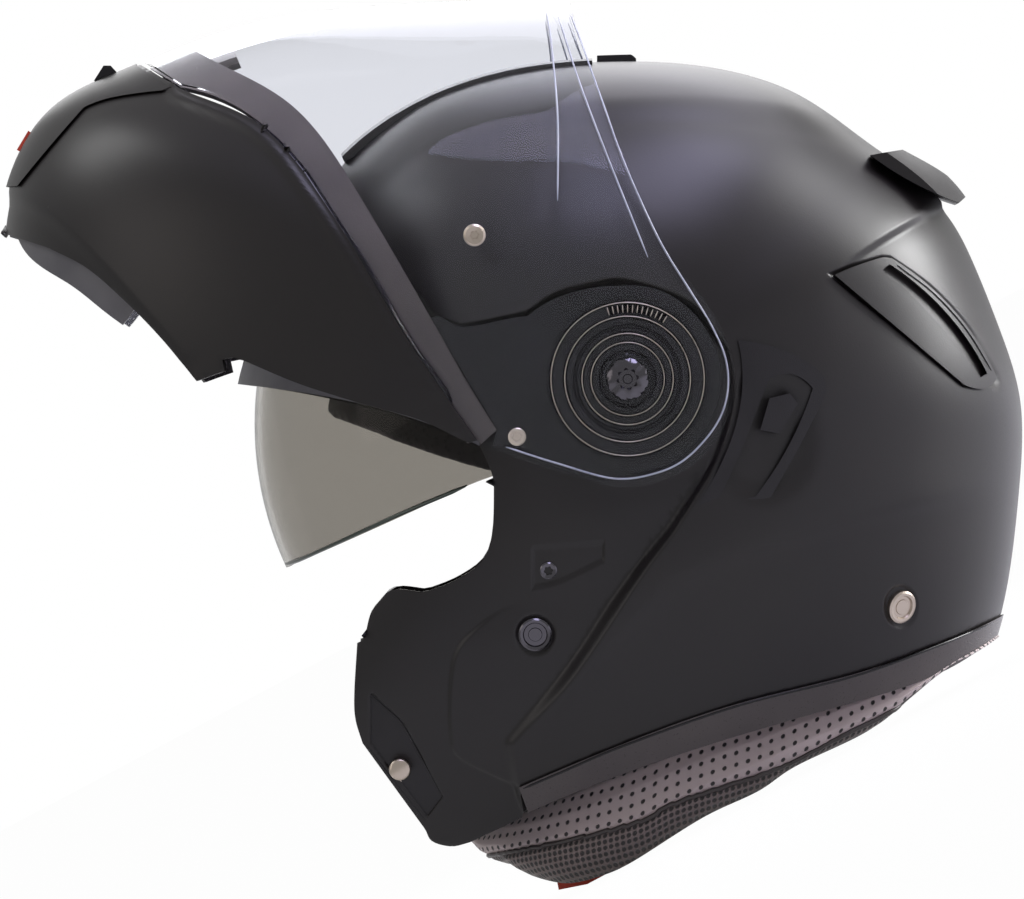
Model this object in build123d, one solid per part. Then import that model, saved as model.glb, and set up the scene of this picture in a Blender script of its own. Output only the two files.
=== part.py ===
from build123d import *
from math import cos, sin, radians, degrees, atan2, hypot
import os

os.makedirs("parts", exist_ok=True)

# Modular (flip-up) motorcycle helmet, millimetres, +Z up, nose towards -X, left side towards -Y.
# The origin lies on the hinge axis of the chin bar, midway between the two side pivots.
# The helmet stands level on its neck roll with the chin bar raised.
# Side outlines are drawn on a sheet in 400ths of the reach, with the hinge axis at hinge_shares and
# the second number counting downwards. The sheet is tipped forward by stand_tilt, so every piece is
# made on the sheet and turned level as it is written.

# Overall sizes
reach = 144.0
shell_half_width = 126.0
bar_half_width = 129.0
stand_height = 153.8
stand_tilt = 28
open_angle = 74

# Walls and clearances
shell_wall = 3.6
recess_depth = 4.3
bar_wall = 3.2
visor_wall = 2.2
sun_wall = 2.0
seat_gap = 0.3
run_gap = 0.4
overrun = 60.0

sheet_steps = 400
hinge_shares = (626, 380)
step = reach / sheet_steps
side_power = 2.3
plan_power = 2.4
plan_shares = (-0.985, -0.95, -0.88, -0.76, -0.6, -0.34, 0, 0.34, 0.6, 0.76, 0.88, 0.95, 0.985)

# Side silhouette of the shell, closed off below where the neck opens
shell_curve_shares = [(640, 66), (740, 78), (800, 100), (875, 148), (940, 200), (975, 265),
                      (1000, 330), (1020, 400), (1022, 440), (1018, 500), (1003, 605),
                      (930, 760), (800, 860), (626, 920), (450, 940), (316, 910),
                      (226, 835), (206, 776), (201, 710), (206, 640), (216, 560),
                      (228, 470), (238, 383), (254, 330), (280, 265), (345, 163),
                      (450, 95), (540, 72)]

# Side silhouette of the visor and chin bar, with the chin bar closed
bar_curve_shares = [(640, 5), (760, 20), (880, 80), (970, 180), (1025, 330), (1030, 480),
                    (985, 640), (900, 780), (780, 880), (640, 945), (450, 968),
                    (306, 938), (269, 919), (207, 853), (191, 776), (184, 720),
                    (182, 612), (192, 545), (207, 474), (222, 410), (235, 357),
                    (260, 285), (320, 175), (420, 75), (530, 20)]


def on_sheet(shares):
    return [((across - hinge_shares[0]) * step, (hinge_shares[1] - down) * step)
            for across, down in shares]


def outline(*runs):
    edges = []
    for run in runs:
        points = on_sheet(run)
        edges.append(Spline(*points) if len(points) > 2 else Line(*points))
    gap_start = edges[-1] @ 1
    gap_end = edges[0] @ 0
    if (gap_start - gap_end).length > step / 2:
        edges.append(Line(gap_start, gap_end))
    return make_face(edges)


def prism(face, low, high):
    plane = Plane(origin=(0, high, 0), x_dir=(1, 0, 0), z_dir=(0, -1, 0))
    return extrude(plane * face, amount=high - low)


def across_all(face):
    return prism(face, -bar_half_width - overrun, bar_half_width + overrun)


def left_only(face):
    return prism(face, -bar_half_width - overrun, -overrun / 6)


def middle_only(half_width):
    return Box(reach * 8, half_width * 2, reach * 8)


def both_sides(solid):
    return [solid, mirror(solid, Plane.XZ)]


def form(curve_shares, half_width, inset=0.0, centre=(0, 0)):
    wires = []
    for plan_share in plan_shares:
        side_share = (1 - abs(plan_share) ** plan_power) ** (1 / side_power)
        points = []
        for x, z in on_sheet(curve_shares):
            x_out = x - centre[0]
            z_out = z - centre[1]
            length = hypot(x_out, z_out)
            shrink_share = (length - inset) / length * side_share
            points.append((centre[0] + x_out * shrink_share,
                           plan_share * (half_width - inset),
                           centre[1] + z_out * shrink_share))
        wires.append(Wire([Spline(*points, periodic=True)]))
    return Solid.make_loft(wires)


def shell_form(inset=0.0):
    return form(shell_curve_shares, shell_half_width, inset)


def recess_form(inset=0.0):
    return form(shell_curve_shares, shell_half_width - recess_depth, inset)


def bar_form(inset=0.0):
    return form(bar_curve_shares, bar_half_width, inset).rotate(Axis.Y, open_angle)


def rod(centre, radius, low, high):
    plane = Plane(origin=(centre[0], high, centre[1]), x_dir=(1, 0, 0), z_dir=(0, -1, 0))
    return extrude(plane * Circle(radius), amount=high - low)


def save(solid, name):
    if isinstance(solid, (list, tuple)):
        solid = Compound(children=[piece.rotate(Axis.Y, stand_tilt) for piece in solid])
    else:
        solid = solid.rotate(Axis.Y, stand_tilt)
    export_step(solid, "parts/" + name + ".step")
    print(name, "written")


# Forms that several pieces share
shell_outer = shell_form()
shell_seat = shell_form(-seat_gap)
recess_outer = recess_form()
recess_inner = recess_form(shell_wall)
liner_outer = recess_form(shell_wall + seat_gap)

# Regions of the shell, seen from the side
brow_top_run = [(120, 350), (228, 361), (353, 387), (480, 441)]
eye_rear_run = [(480, 446), (492, 473), (494, 493), (492, 534), (482, 560), (455, 579), (424, 591)]
eye_low_run = [(424, 591), (394, 588), (381, 599), (372, 612), (366, 638)]
horn_front_run = [(359, 640), (356, 690), (357, 716), (364, 740)]
horn_foot_run = [(426, 826), (433, 838), (452, 843), (470, 839)]
rim_top_run = [(519, 784), (626, 739), (738, 700), (850, 672), (991, 620), (1075, 578)]
rim_low_run = [(1075, 606), (995, 637), (961, 659), (850, 700), (738, 732), (626, 769), (528, 809)]

shell_region = outline(brow_top_run, [(480, 441), (480, 446)], eye_rear_run, eye_low_run,
                       [(366, 638), (359, 640)], horn_front_run, [(364, 740), (426, 826)],
                       horn_foot_run, [(470, 839), (524, 813)], [(524, 813), (519, 784)],
                       rim_top_run, [(1075, 578), (1075, -60)], [(1075, -60), (120, -60)])

recess_region = outline([(345, 470), (353, 420), (372, 360), (420, 291)],
                        [(420, 291), (436, 313), (456, 323), (469, 324), (525, 312)],
                        [(525, 312), (554, 293), (590, 283), (626, 280), (690, 303), (728, 350)],
                        [(728, 350), (734, 400), (715, 462), (672, 532)],
                        [(672, 532), (643, 571), (578, 668), (516, 742)],
                        [(516, 742), (550, 830)], [(550, 830), (550, 1000)],
                        [(550, 1000), (60, 1000)], [(60, 1000), (60, 600)])

# Side exhaust pocket, rear spoiler seat and vent slot
exhaust_region = outline([(822, 275), (850, 264), (880, 255)], [(880, 255), (889, 256)],
                         [(889, 256), (932, 288), (969, 328), (998, 377)],
                         [(998, 377), (993, 387), (958, 388)], [(958, 388), (890, 330), (822, 275)])
exhaust_pocket_depth = 2.0
exhaust_proud = 1.1


def make_shell_wall():
    recess = across_all(recess_region)
    return (shell_outer - recess) + (recess_outer & recess) - recess_inner


def make_outer_shell():
    body = shell_and_step & across_all(shell_region)
    pocket = (shell_form(-overrun / 10) - shell_form(exhaust_pocket_depth))
    pocket = pocket & across_all(exhaust_region)
    return body - pocket


# Head space, liner and pads, by how far each lies inside the shell
liner_inset = 34.0
pad_wall = 6.5
cheek_inset = 41.0

# Drop-down sun visor: a dome about its own pivot
sun_pivot_shares = (594, 424)
sun_radius = 122.2
sun_half_width = 112.0
sun_pin_radius = 4.0
sun_pivot_x, sun_pivot_z = on_sheet([sun_pivot_shares])[0]


def sun_form(inset=0.0):
    """Dome whose side sections are circles about the sun visor's pivot."""
    wires = []
    for plan_share in plan_shares:
        side_share = (1 - abs(plan_share) ** plan_power) ** (1 / side_power)
        y = plan_share * (sun_half_width - inset)
        plane = Plane(origin=(sun_pivot_x, y, sun_pivot_z), x_dir=(1, 0, 0), z_dir=(0, -1, 0))
        wires.append(Wire([(plane * Circle((sun_radius - inset) * side_share)).edge()]))
    return Solid.make_loft(wires)


sun_outer = sun_form()
sun_inner = sun_form(sun_wall)

eps_region = outline([(60, 372), (240, 384), (353, 404), (486, 452)],
                     [(486, 452), (500, 480), (502, 510), (498, 536)],
                     [(498, 536), (560, 566), (640, 640), (700, 705)],
                     [(700, 705), (850, 664), (991, 612), (1075, 570)],
                     [(1075, 570), (1075, -60)], [(1075, -60), (60, -60)])
lens_store_region = outline([(60, -60), (752, -60)],
                            [(752, -60), (735, 330), (690, 420), (640, 468), (594, 478)],
                            [(594, 478), (520, 506), (300, 590), (60, 640)])
cheek_region = outline([(503, 541), (560, 571), (638, 645), (694, 704)],
                       [(694, 704), (626, 731), (517, 774)],
                       [(517, 774), (470, 824), (446, 828), (428, 816)],
                       [(428, 816), (378, 742), (366, 700), (370, 655)],
                       [(370, 655), (384, 616), (400, 603), (430, 600), (462, 588), (490, 566),
                        (503, 541)])
crown_region = outline([(60, 400), (300, 405), (486, 470), (560, 480)],
                       [(560, 480), (700, 470), (1075, 420)], [(1075, 420), (1075, -60)], [(1075, -60), (60, -60)])


def make_liner():
    body = liner_outer - recess_form(liner_inset)
    body = body & across_all(eps_region)
    store = across_all(lens_store_region) - sun_form(sun_wall + seat_gap * 2)
    return body - store


def make_crown_pad():
    body = recess_form(liner_inset + seat_gap) - recess_form(liner_inset + pad_wall)
    return body & across_all(crown_region)


def make_cheek_pad():
    body = recess_form(shell_wall + seat_gap * 2) - recess_form(cheek_inset)
    return body & left_only(cheek_region)


# Chin bar and visor, raised
bar_region = outline([(480, 445), (465, 441), (420, 420), (359, 403)], [(359, 403), (300, 384), (241, 359)],
                     [(241, 359), (225, 358)], [(225, 358), (228, 372)], [(228, 372), (200, 382)],
                     [(200, 382), (161, 337), (129, 305), (88, 270), (48, 249)],
                     [(48, 249), (-60, 214)], [(-60, 214), (-60, -20)], [(-60, -20), (142, 66)],
                     [(142, 66), (182, 91)],
                     [(182, 91), (265, 130), (330, 210), (405, 335), (480, 445)])
visor_region = outline([(482, 443), (408, 332), (333, 207), (268, 127), (184, 88)], [(184, 88), (144, 62)],
                       [(144, 62), (60, -120)], [(60, -120), (566, -120)],
                       [(566, -120), (570, 5), (619, 150), (640, 200), (663, 248), (688, 284)],
                       [(688, 284), (716, 325), (732, 380), (721, 429), (688, 466), (654, 482), (610, 486)],
                       [(610, 486), (554, 470), (491, 449)])
gasket_region = outline([(481.4, 444.2), (406.4, 334.2), (331.4, 209.2), (266.2, 128.6), (183, 89.4)],
                        [(183, 89.4), (143, 64)], [(143, 64), (80, -40)], [(80, -40), (130, -60)],
                        [(130, -60), (190, 50), (290, 106), (356, 190), (432, 320), (497, 430)])
arm_region = outline([(497, 430), (432, 320)], [(432, 320), (438, 318), (456, 327), (470, 328), (527, 318)],
                     [(527, 318), (556, 300), (592, 290), (626, 288)],
                     [(626, 288), (688, 312), (718, 380), (690, 446), (626, 474)],
                     [(626, 474), (590, 478), (554, 466), (493, 446)])
front_panel_region = outline([(19, 187), (52, 148), (86, 109)],
                             [(86, 109), (107, 101), (134, 96), (161, 93), (177, 92)],
                             [(177, 92), (138, 67)], [(138, 67), (124, 40)],
                             [(124, 40), (-60, -20)], [(-60, -20), (-60, 187)])
chin_liner_region = outline([(20, 240), (31, 257), (75, 287), (107, 312), (126, 326)],
                            [(126, 326), (146, 298), (196, 214), (262, 182)], [(262, 182), (286, 188)],
                            [(286, 188), (254, 138), (180, 101)], [(180, 101), (128, 66)],
                            [(128, 66), (-60, -20)], [(-60, -20), (-60, 216)])
guard_region = outline([(178, 112), (134, 52)], [(134, 52), (112, 0)], [(112, 0), (212, 0)],
                       [(212, 0), (238, 60), (262, 134)], [(262, 134), (225, 130), (178, 112)])
arm_inset = 4.5
arm_wall = 1.6
gasket_gap = 1.1
gasket_wall = 1.6
panel_proud = 0.7
panel_half_width = 62.0
chin_liner_wall = 13.0
guard_half_width = 34.0
guard_wall = 2.5
guard_inset = 9.0

# Side pivot stack
pin_radius = 5.5
knob_radius = 8.0
knob_points = 8
ratchet_radius = 28.8
ratchet_wall = 1.5
slot_radius = 25.0
slot_width = 3.6
flat_share = plan_shares[-1]
visor_inside = (bar_half_width - visor_wall) * flat_share
visor_outside = bar_half_width * flat_share
ratchet_inside = visor_inside - run_gap - ratchet_wall
recess_face = (shell_half_width - recess_depth) * flat_share
knob_wall = 2.2
slot_spans = ((58, 106), (148, 168), (-30, -2))
visor_pin_shares = (475, 238)
visor_pin_radius = 4.0

bar_outer = bar_form()
bar_under = bar_form(bar_wall)
visor_under = bar_form(visor_wall)


def pivot_hole(radius):
    return rod((0, 0), radius, -bar_half_width - overrun, bar_half_width + overrun)


def make_chin_bar():
    return (bar_outer - bar_under) & across_all(bar_region)


def make_visor():
    body = (bar_outer - visor_under) & across_all(visor_region)
    return body - pivot_hole(pin_radius + run_gap)


def make_gasket():
    top = visor_wall + gasket_gap
    return (bar_form(top) - bar_form(top + gasket_wall)) & across_all(gasket_region)


def make_chin_arm():
    body = (bar_form(arm_inset) - bar_form(arm_inset + arm_wall)) & left_only(arm_region)
    return body - pivot_hole(pin_radius + run_gap)


def make_ratchet():
    low = -ratchet_inside - ratchet_wall
    body = rod((0, 0), ratchet_radius, low, -ratchet_inside)
    for start, end in slot_spans:
        arc = CenterArc((0, 0), slot_radius, start, end - start)
        slot = trace(arc, slot_width)
        plane = Plane(origin=(0, 0, 0), x_dir=(1, 0, 0), z_dir=(0, -1, 0))
        body -= extrude(plane * slot, amount=bar_half_width + overrun)
    return body - pivot_hole(pin_radius + run_gap)


def make_knob():
    low = -visor_outside - seat_gap - knob_wall
    body = rod((0, 0), knob_radius, low, -visor_outside - seat_gap)
    for number in range(knob_points):
        angle = radians(360 / knob_points * number)
        centre = (knob_radius * cos(angle), knob_radius * sin(angle))
        body -= rod(centre, knob_radius / knob_points, low - overrun, low + overrun)
    return body


def make_pivot_pin():
    return rod((0, 0), pin_radius, -visor_outside - seat_gap, -recess_face)


def make_front_panel():
    body = bar_form(-panel_proud - seat_gap) - bar_form(-seat_gap)
    body = body & across_all(front_panel_region)
    return body & middle_only(panel_half_width)


def make_chin_liner():
    body = bar_form(bar_wall + seat_gap) - bar_form(bar_wall + seat_gap + chin_liner_wall)
    return body & across_all(chin_liner_region)


def make_breath_guard():
    body = (bar_form(guard_inset) - bar_form(guard_inset + guard_wall)) & across_all(guard_region)
    body = body - across_all(offset(chin_liner_region, amount=seat_gap))
    return body & middle_only(guard_half_width)


sun_region = outline([(60, 300), (300, 296), (470, 352), (594, 398)],
                     [(594, 398), (622, 424), (594, 452)], [(594, 452), (540, 462), (469, 485)],
                     [(469, 485), (380, 526), (294, 564)], [(294, 564), (288, 567), (275, 565), (60, 720)])


def make_sun_visor():
    body = (sun_outer - sun_inner) & across_all(sun_region)
    hole = rod((sun_pivot_x, sun_pivot_z), sun_pin_radius + run_gap, -sun_half_width - overrun,
               sun_half_width + overrun)
    return body - hole


# Trims
rim_proud = 1.0
rim_depth = 9.0
rim_region = outline(rim_top_run, [(1075, 578), (1075, 606)], rim_low_run, [(528, 809), (519, 784)])
brow_region = outline(brow_top_run, [(480, 441), (480, 446)],
                      [(480, 446), (353, 402), (228, 383), (120, 372)])


def make_rim_trim():
    return (shell_form(-rim_proud) - recess_form(rim_depth)) & across_all(rim_region)


def make_brow_trim():
    return shell_and_step & across_all(brow_region)


def curve_reach(curve_shares, angle):
    """Reach of a side silhouette from the hinge axis in one direction, in degrees."""
    corners = sorted((degrees(atan2(z, x)) % 360, hypot(x, z)) for x, z in on_sheet(curve_shares))
    corners = [(corners[-1][0] - 360, corners[-1][1])] + corners + [(corners[0][0] + 360, corners[0][1])]
    for (low, low_reach), (high, high_reach) in zip(corners, corners[1:]):
        if low <= angle % 360 <= high:
            return low_reach + (high_reach - low_reach) * (angle % 360 - low) / (high - low)


def side_y(spot_shares, half_width, curve_shares=shell_curve_shares, turned=0):
    """How far out a form's side lies at a spot of the sheet."""
    x, z = on_sheet([spot_shares])[0]
    reach_there = curve_reach(curve_shares, degrees(atan2(z, x)) + turned)
    side_share = hypot(x, z) / reach_there
    return half_width * (1 - side_share ** side_power) ** (1 / plan_power)


def level(solid):
    return solid.rotate(Axis.Y, -stand_tilt)


recess_half_width = shell_half_width - recess_depth

# Neck roll, drawn level
roll_top = -100.0
roll_half_width = 91.0
roll_half_length = 98.0
roll_middle = -38.0
roll_wall = 30.0
roll_levels = ((roll_top, 5.0), (-124.0, 0.0), (-140.0, 1.0), (-149.0, 6.0), (-stand_height, 15.0))
roll_plan_power = 2.5
roll_points = 16
roll_region = outline([(472, 831), (520, 782)], [(520, 782), (626, 738), (700, 712)],
                      [(700, 712), (850, 670), (991, 618), (1075, 576)], [(1075, 576), (1075, 800)],
                      [(1075, 800), (620, 960)], [(620, 960), (606, 893)],
                      [(606, 893), (552, 881), (513, 874), (480, 860)], [(480, 860), (466, 843)],
                      [(466, 843), (472, 831)])


def plan_wire(middle, half_length, half_width, z):
    points = []
    for number in range(roll_points):
        angle = radians(360 / roll_points * number)
        along = abs(cos(angle)) ** (2 / roll_plan_power) * (1 if cos(angle) > 0 else -1)
        aside = abs(sin(angle)) ** (2 / roll_plan_power) * (1 if sin(angle) > 0 else -1)
        points.append((middle + half_length * along, half_width * aside, z))
    return Wire([Spline(*points, periodic=True)])


def make_neck_roll():
    outer = Solid.make_loft([plan_wire(roll_middle, roll_half_length - tuck, roll_half_width - tuck, z)
                             for z, tuck in roll_levels])
    bore_half_length = roll_half_length - roll_wall / 4
    bore = Solid.make_loft([plan_wire(roll_middle - roll_wall * 3 / 4, bore_half_length,
                                      roll_half_width - roll_wall, z)
                            for z in (roll_top + overrun, -stand_height - overrun)], True)
    body = level(outer - bore) & across_all(roll_region)
    return body & recess_form(rim_depth + seat_gap)


# Side control panels, with the sun visor's slider on the left one
panel_wall = 0.8
panel_region = outline([(735, 342), (762, 346), (811, 368)], [(811, 368), (822, 384), (819, 401)],
                       [(819, 401), (787, 462), (760, 509)], [(760, 509), (674, 532)],
                       [(674, 532), (719, 462), (738, 400), (735, 342)])
panel_window_region = outline([(766, 379), (787, 375), (809, 389)], [(809, 389), (797, 421), (752, 496)],
                              [(752, 496), (712, 506)], [(712, 506), (738, 450), (758, 400), (766, 379)])
slider_region = outline([(766, 399), (786, 394)], [(786, 394), (794, 404)], [(794, 404), (776, 434)],
                        [(776, 434), (757, 430)])
slider_proud = 4.4
slider_gap = 0.6


def make_panel():
    body = (shell_form(-seat_gap - panel_wall) - shell_seat) & left_only(panel_region)
    return body - left_only(panel_window_region)


def make_slider():
    return (shell_form(-slider_proud) - shell_form(-slider_gap)) & left_only(slider_region)


# Latch plates and pins on the lower front of the shell
latch_region = outline([(371, 688), (390, 705), (405, 720)], [(405, 720), (444, 794)],
                       [(444, 794), (428, 815)], [(428, 815), (371, 741)])
latch_pocket_depth = 2.0
latch_plate_wall = 1.2
latch_pin_shares = (401, 766)
latch_pin_radius = 3.9
latch_pin_short = 1.8
latch_pin_end = side_y(latch_pin_shares, bar_half_width - bar_wall, bar_curve_shares) - latch_pin_short


def make_latch_plate():
    top = latch_pocket_depth - latch_plate_wall
    body = (recess_form(top) - recess_form(latch_pocket_depth)) & left_only(latch_region)
    return body - rod(on_sheet([latch_pin_shares])[0], latch_pin_radius + seat_gap / 3,
                      -bar_half_width, -overrun)


def make_latch_pin():
    centre = on_sheet([latch_pin_shares])[0]
    root = side_y(latch_pin_shares, recess_half_width - latch_pocket_depth)
    body = rod(centre, latch_pin_radius, -latch_pin_end, -root + latch_pin_radius)
    return body - recess_form(latch_pocket_depth)


# Strap rivets and shell screws
rivet_front_shares = (535, 632)
rivet_rear_shares = (897, 605)
shell_screw_shares = (548, 569)
rivet_radius = 6.0
rivet_shank_radius = 2.4
rivet_proud = 1.8
shell_screw_radius = 3.2


def stud_plane(spot_shares, half_width):
    """Plane on a form's left side at a spot of the sheet, its normal outward."""
    across, down = spot_shares
    face = side_y(spot_shares, half_width)
    slope_x = side_y((across + 1, down), half_width) - side_y((across - 1, down), half_width)
    slope_z = side_y((across, down - 1), half_width) - side_y((across, down + 1), half_width)
    x, z = on_sheet([spot_shares])[0]
    normal = (-slope_x, -step * 2, -slope_z)
    return Plane(origin=(x, -face, z), z_dir=normal)


def make_stud(spot_shares, radius, half_width, seat):
    plane = stud_plane(spot_shares, half_width)
    head = extrude(plane.offset(-radius) * Circle(radius), amount=radius + rivet_proud) - seat
    head = Solid(head.solids().sort_by(Axis.Y)[0].wrapped)
    shank = extrude(plane.offset(-shell_wall) * Circle(rivet_shank_radius), amount=shell_wall + rivet_proud / 2)
    return head + shank


def stud_hole(spot_shares, half_width):
    plane = stud_plane(spot_shares, half_width)
    return extrude(plane * Circle(rivet_shank_radius + seat_gap / 3), amount=shell_wall * 3, both=True)


# Top vent: scoop and its slider
scoop_half_width = 27.0
scoop_proud = 3.0
scoop_region = outline([(345, 163), (394, 134), (434, 112), (487, 92), (541, 82), (592, 78)],
                       [(592, 78), (592, 20)], [(592, 20), (300, 60)])
vent_slider_region = outline([(597, 90), (597, 56)], [(597, 56), (611, 53.6), (624, 53.4)],
                             [(624, 53.4), (631, 55), (636, 59)], [(636, 59), (636, 90)])
vent_slider_half_width = 9.0
vent_slider_proud = 4.2


def make_scoop():
    body = (shell_form(-seat_gap - scoop_proud) - shell_seat) & across_all(scoop_region)
    return body & middle_only(scoop_half_width)


def make_vent_slider():
    body = (shell_form(-vent_slider_proud) - shell_form(-slider_gap)) & across_all(vent_slider_region)
    return body & middle_only(vent_slider_half_width)


# Rear spoiler and side exhausts
spoiler_half_width = 58.0
spoiler_proud = 8.0
spoiler_region = outline([(868, 157), (901, 151)], [(901, 151), (926, 164), (950, 178), (970, 193)],
                         [(970, 193), (957, 204)], [(957, 204), (943, 199), (868, 157)])


def make_spoiler():
    body = (shell_form(-spoiler_proud) - shell_seat) & across_all(spoiler_region)
    return body & middle_only(spoiler_half_width)


exhaust_insert_region = outline([(831, 277), (852, 268), (880, 259)], [(880, 259), (888, 260)],
                                [(888, 260), (930, 291), (966, 330), (994, 378)],
                                [(994, 378), (990, 384), (960, 385)], [(960, 385), (892, 328), (831, 277)])
exhaust_slot_region = outline([(886, 266), (924, 295), (958, 332), (984, 374)], [(984, 374), (977, 378)],
                              [(977, 378), (948, 341), (914, 303), (878, 272)], [(878, 272), (886, 266)])


def make_exhaust():
    low = exhaust_pocket_depth - seat_gap / 6
    body = (shell_form(-exhaust_proud) - shell_form(low)) & left_only(exhaust_insert_region)
    slot = shell_form(-exhaust_proud - overrun / 10) - shell_form(low - exhaust_proud)
    return body - (slot & left_only(exhaust_slot_region))


# Chin strap, drawn in its own hanging plane, and its ratchet buckle
strap_low_shares = (583, 862)
strap_high_shares = (540, 645)
strap_width = 24.0
strap_wall = 2.2
buckle_half_length = 16.0
buckle_height = 5.5
buckle_width = 26.0
tab_length = 21.0
tab_top = 2.0
tab_drop = 7.8
tab_wall = 2.6


def strap_plane():
    low_x, low_z = on_sheet([strap_low_shares])[0]
    high_x, high_z = on_sheet([strap_high_shares])[0]
    rise = hypot(high_x - low_x, high_z - low_z)
    up = ((high_x - low_x) / rise, 0, (high_z - low_z) / rise)
    return Plane(origin=(low_x, 0, low_z), x_dir=(0, -1, 0), z_dir=(-up[2], 0, up[0])), rise


def make_strap(grow=0.0):
    plane, rise = strap_plane()
    out = side_y(strap_high_shares, recess_half_width - shell_wall - seat_gap * 3) - strap_wall
    roll_inside = roll_half_width - roll_wall
    points = [(buckle_half_length - strap_width / 3, buckle_height / 2 + strap_wall / 2 + grow),
              (roll_inside - strap_width, buckle_height * 2),
              (roll_inside - strap_width / 4, strap_width * 1.7),
              (out, rise)]
    path = FilletPolyline(*points, radius=strap_width / 3)
    face = plane * trace(path, strap_wall + grow * 2)
    return extrude(face, amount=strap_width / 2 + grow, dir=plane.z_dir, both=True)


def make_buckle_body():
    return strap_plane()[0] * Box(buckle_half_length * 2, buckle_height, buckle_width)


def make_buckle_lever():
    plane = strap_plane()[0]
    face = Rectangle(tab_wall, tab_top + tab_drop)
    middle = Pos(buckle_half_length + slider_gap + tab_wall / 2, (tab_top - tab_drop) / 2)
    body = extrude(plane * middle * face, amount=tab_length / 2, dir=plane.z_dir, both=True)
    above = Pos(0, 0, -stand_height + run_gap + reach) * Box(reach * 4, reach * 4, reach * 2)
    return body & level(above)


# Small moving parts on the chin bar
vent_tab_region = outline([(84, 106), (90, 88)], [(90, 88), (104, 66)], [(104, 66), (111, 66)],
                          [(111, 66), (125, 81)], [(125, 81), (128, 100)])
vent_tab_half_width = 11.0
button_shares = (32, 146)
button_turn = 31
button_length = 18.0
button_width = 8.0
button_out = 3.8
button_in = 5.0
slide_angles = (158, 171.5)
slide_slot_angle = 162.5
slide_half_width = 8.0
slide_wall = 1.5
slide_gap = 0.6
arm_screw_shares = (517, 437)
arm_screw_radius = 3.2


def make_vent_tab():
    body = across_all(vent_tab_region) - bar_form(-panel_proud - seat_gap - run_gap)
    return body & middle_only(vent_tab_half_width)


def make_button(grow=0.0):
    x, z = on_sheet([button_shares])[0]
    place = Pos(x, 0, z) * Rot(0, button_turn, 0)
    middle = Pos((button_in - button_out) / 2, 0, 0)
    body = Box(button_in + button_out + grow * 12, button_length + grow * 2, button_width + grow * 2)
    return place * middle * body


def slide_region(grow=0.0):
    x, z = on_sheet([latch_pin_shares])[0]
    middle = hypot(x, z)
    start, end = slide_angles
    arc = CenterArc((0, 0), middle, start - grow, end - start + grow * 2)
    return trace(arc, (slide_half_width + grow) * 2)


def pin_track():
    """Path of the latch pin across the raised bar."""
    x, z = on_sheet([latch_pin_shares])[0]
    arc = CenterArc((0, 0), hypot(x, z), slide_slot_angle, open_angle / 2)
    return trace(arc, (latch_pin_radius + run_gap) * 2)


def make_pin_groove():
    return prism(pin_track(), -latch_pin_end - run_gap, -overrun / 6)


def make_latch_slide():
    top = bar_wall + slide_gap
    body = (bar_form(top) - bar_form(top + slide_wall)) & left_only(slide_region())
    return body - left_only(pin_track())


def make_sun_pivot():
    centre = (sun_pivot_x, sun_pivot_z)
    shell_face = (recess_half_width - shell_wall) * flat_share
    lens_face = sun_half_width * flat_share
    flange = rod(centre, sun_pin_radius * 2, -shell_face, -lens_face - run_gap)
    return flange + rod(centre, sun_pin_radius, -lens_face - run_gap, -lens_face + sun_wall)


def make_visor_pin():
    y = side_y(visor_pin_shares, bar_half_width, bar_curve_shares, open_angle)
    return rod(on_sheet([visor_pin_shares])[0], visor_pin_radius, -y - visor_wall / 2, -y + visor_wall * 2)


def make_arm_screw():
    y = side_y(arm_screw_shares, bar_half_width, bar_curve_shares, open_angle)
    body = rod(on_sheet([arm_screw_shares])[0], arm_screw_radius, -y - overrun / 4, -y + overrun / 4)
    return body & (bar_form(visor_wall + run_gap) - bar_form(arm_inset - seat_gap))


shell_and_step = make_shell_wall()
recess_seat = recess_form(-seat_gap)
pin_centre = on_sheet([latch_pin_shares])[0]
outer_shell = make_outer_shell()
latch_pocket = (recess_seat - recess_form(latch_pocket_depth))
latch_pocket = latch_pocket & (left_only(latch_region) + rod(pin_centre, latch_pin_radius + seat_gap / 3,
                                                            -bar_half_width, -overrun))
for pocket in both_sides(latch_pocket):
    outer_shell -= pocket
front_stud = make_stud(rivet_front_shares, rivet_radius, recess_half_width, recess_seat)
shell_screw = make_stud(shell_screw_shares, shell_screw_radius, recess_half_width, recess_seat)
rear_stud = make_stud(rivet_rear_shares, rivet_radius, shell_half_width, shell_seat)
for stud_shares, half_width in ((rivet_front_shares, recess_half_width),
                                (shell_screw_shares, recess_half_width),
                                (rivet_rear_shares, shell_half_width)):
    for hole in both_sides(stud_hole(stud_shares, half_width)):
        outer_shell -= hole
strap_left, strap_right = both_sides(make_strap())
cheek_left, cheek_right = both_sides(make_cheek_pad() - make_strap(run_gap))
exhaust_left, exhaust_right = both_sides(make_exhaust())
panel_left, panel_right = both_sides(make_panel())
latch_left, latch_right = both_sides(make_latch_plate())
arm_left, arm_right = both_sides(make_chin_arm())
slide_room = bar_form(bar_wall) - bar_form(bar_wall + slide_gap * 2 + slide_wall)
slide_room = slide_room & left_only(slide_region(seat_gap * 4))
chin_liner = make_chin_liner() - make_button(run_gap)
for room in both_sides(slide_room):
    chin_liner -= room
chin_bar = make_chin_bar() - make_button(run_gap)
for groove in both_sides(make_pin_groove()):
    chin_bar -= groove
visor = make_visor()
for pin in both_sides(make_visor_pin()):
    visor -= pin

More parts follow.
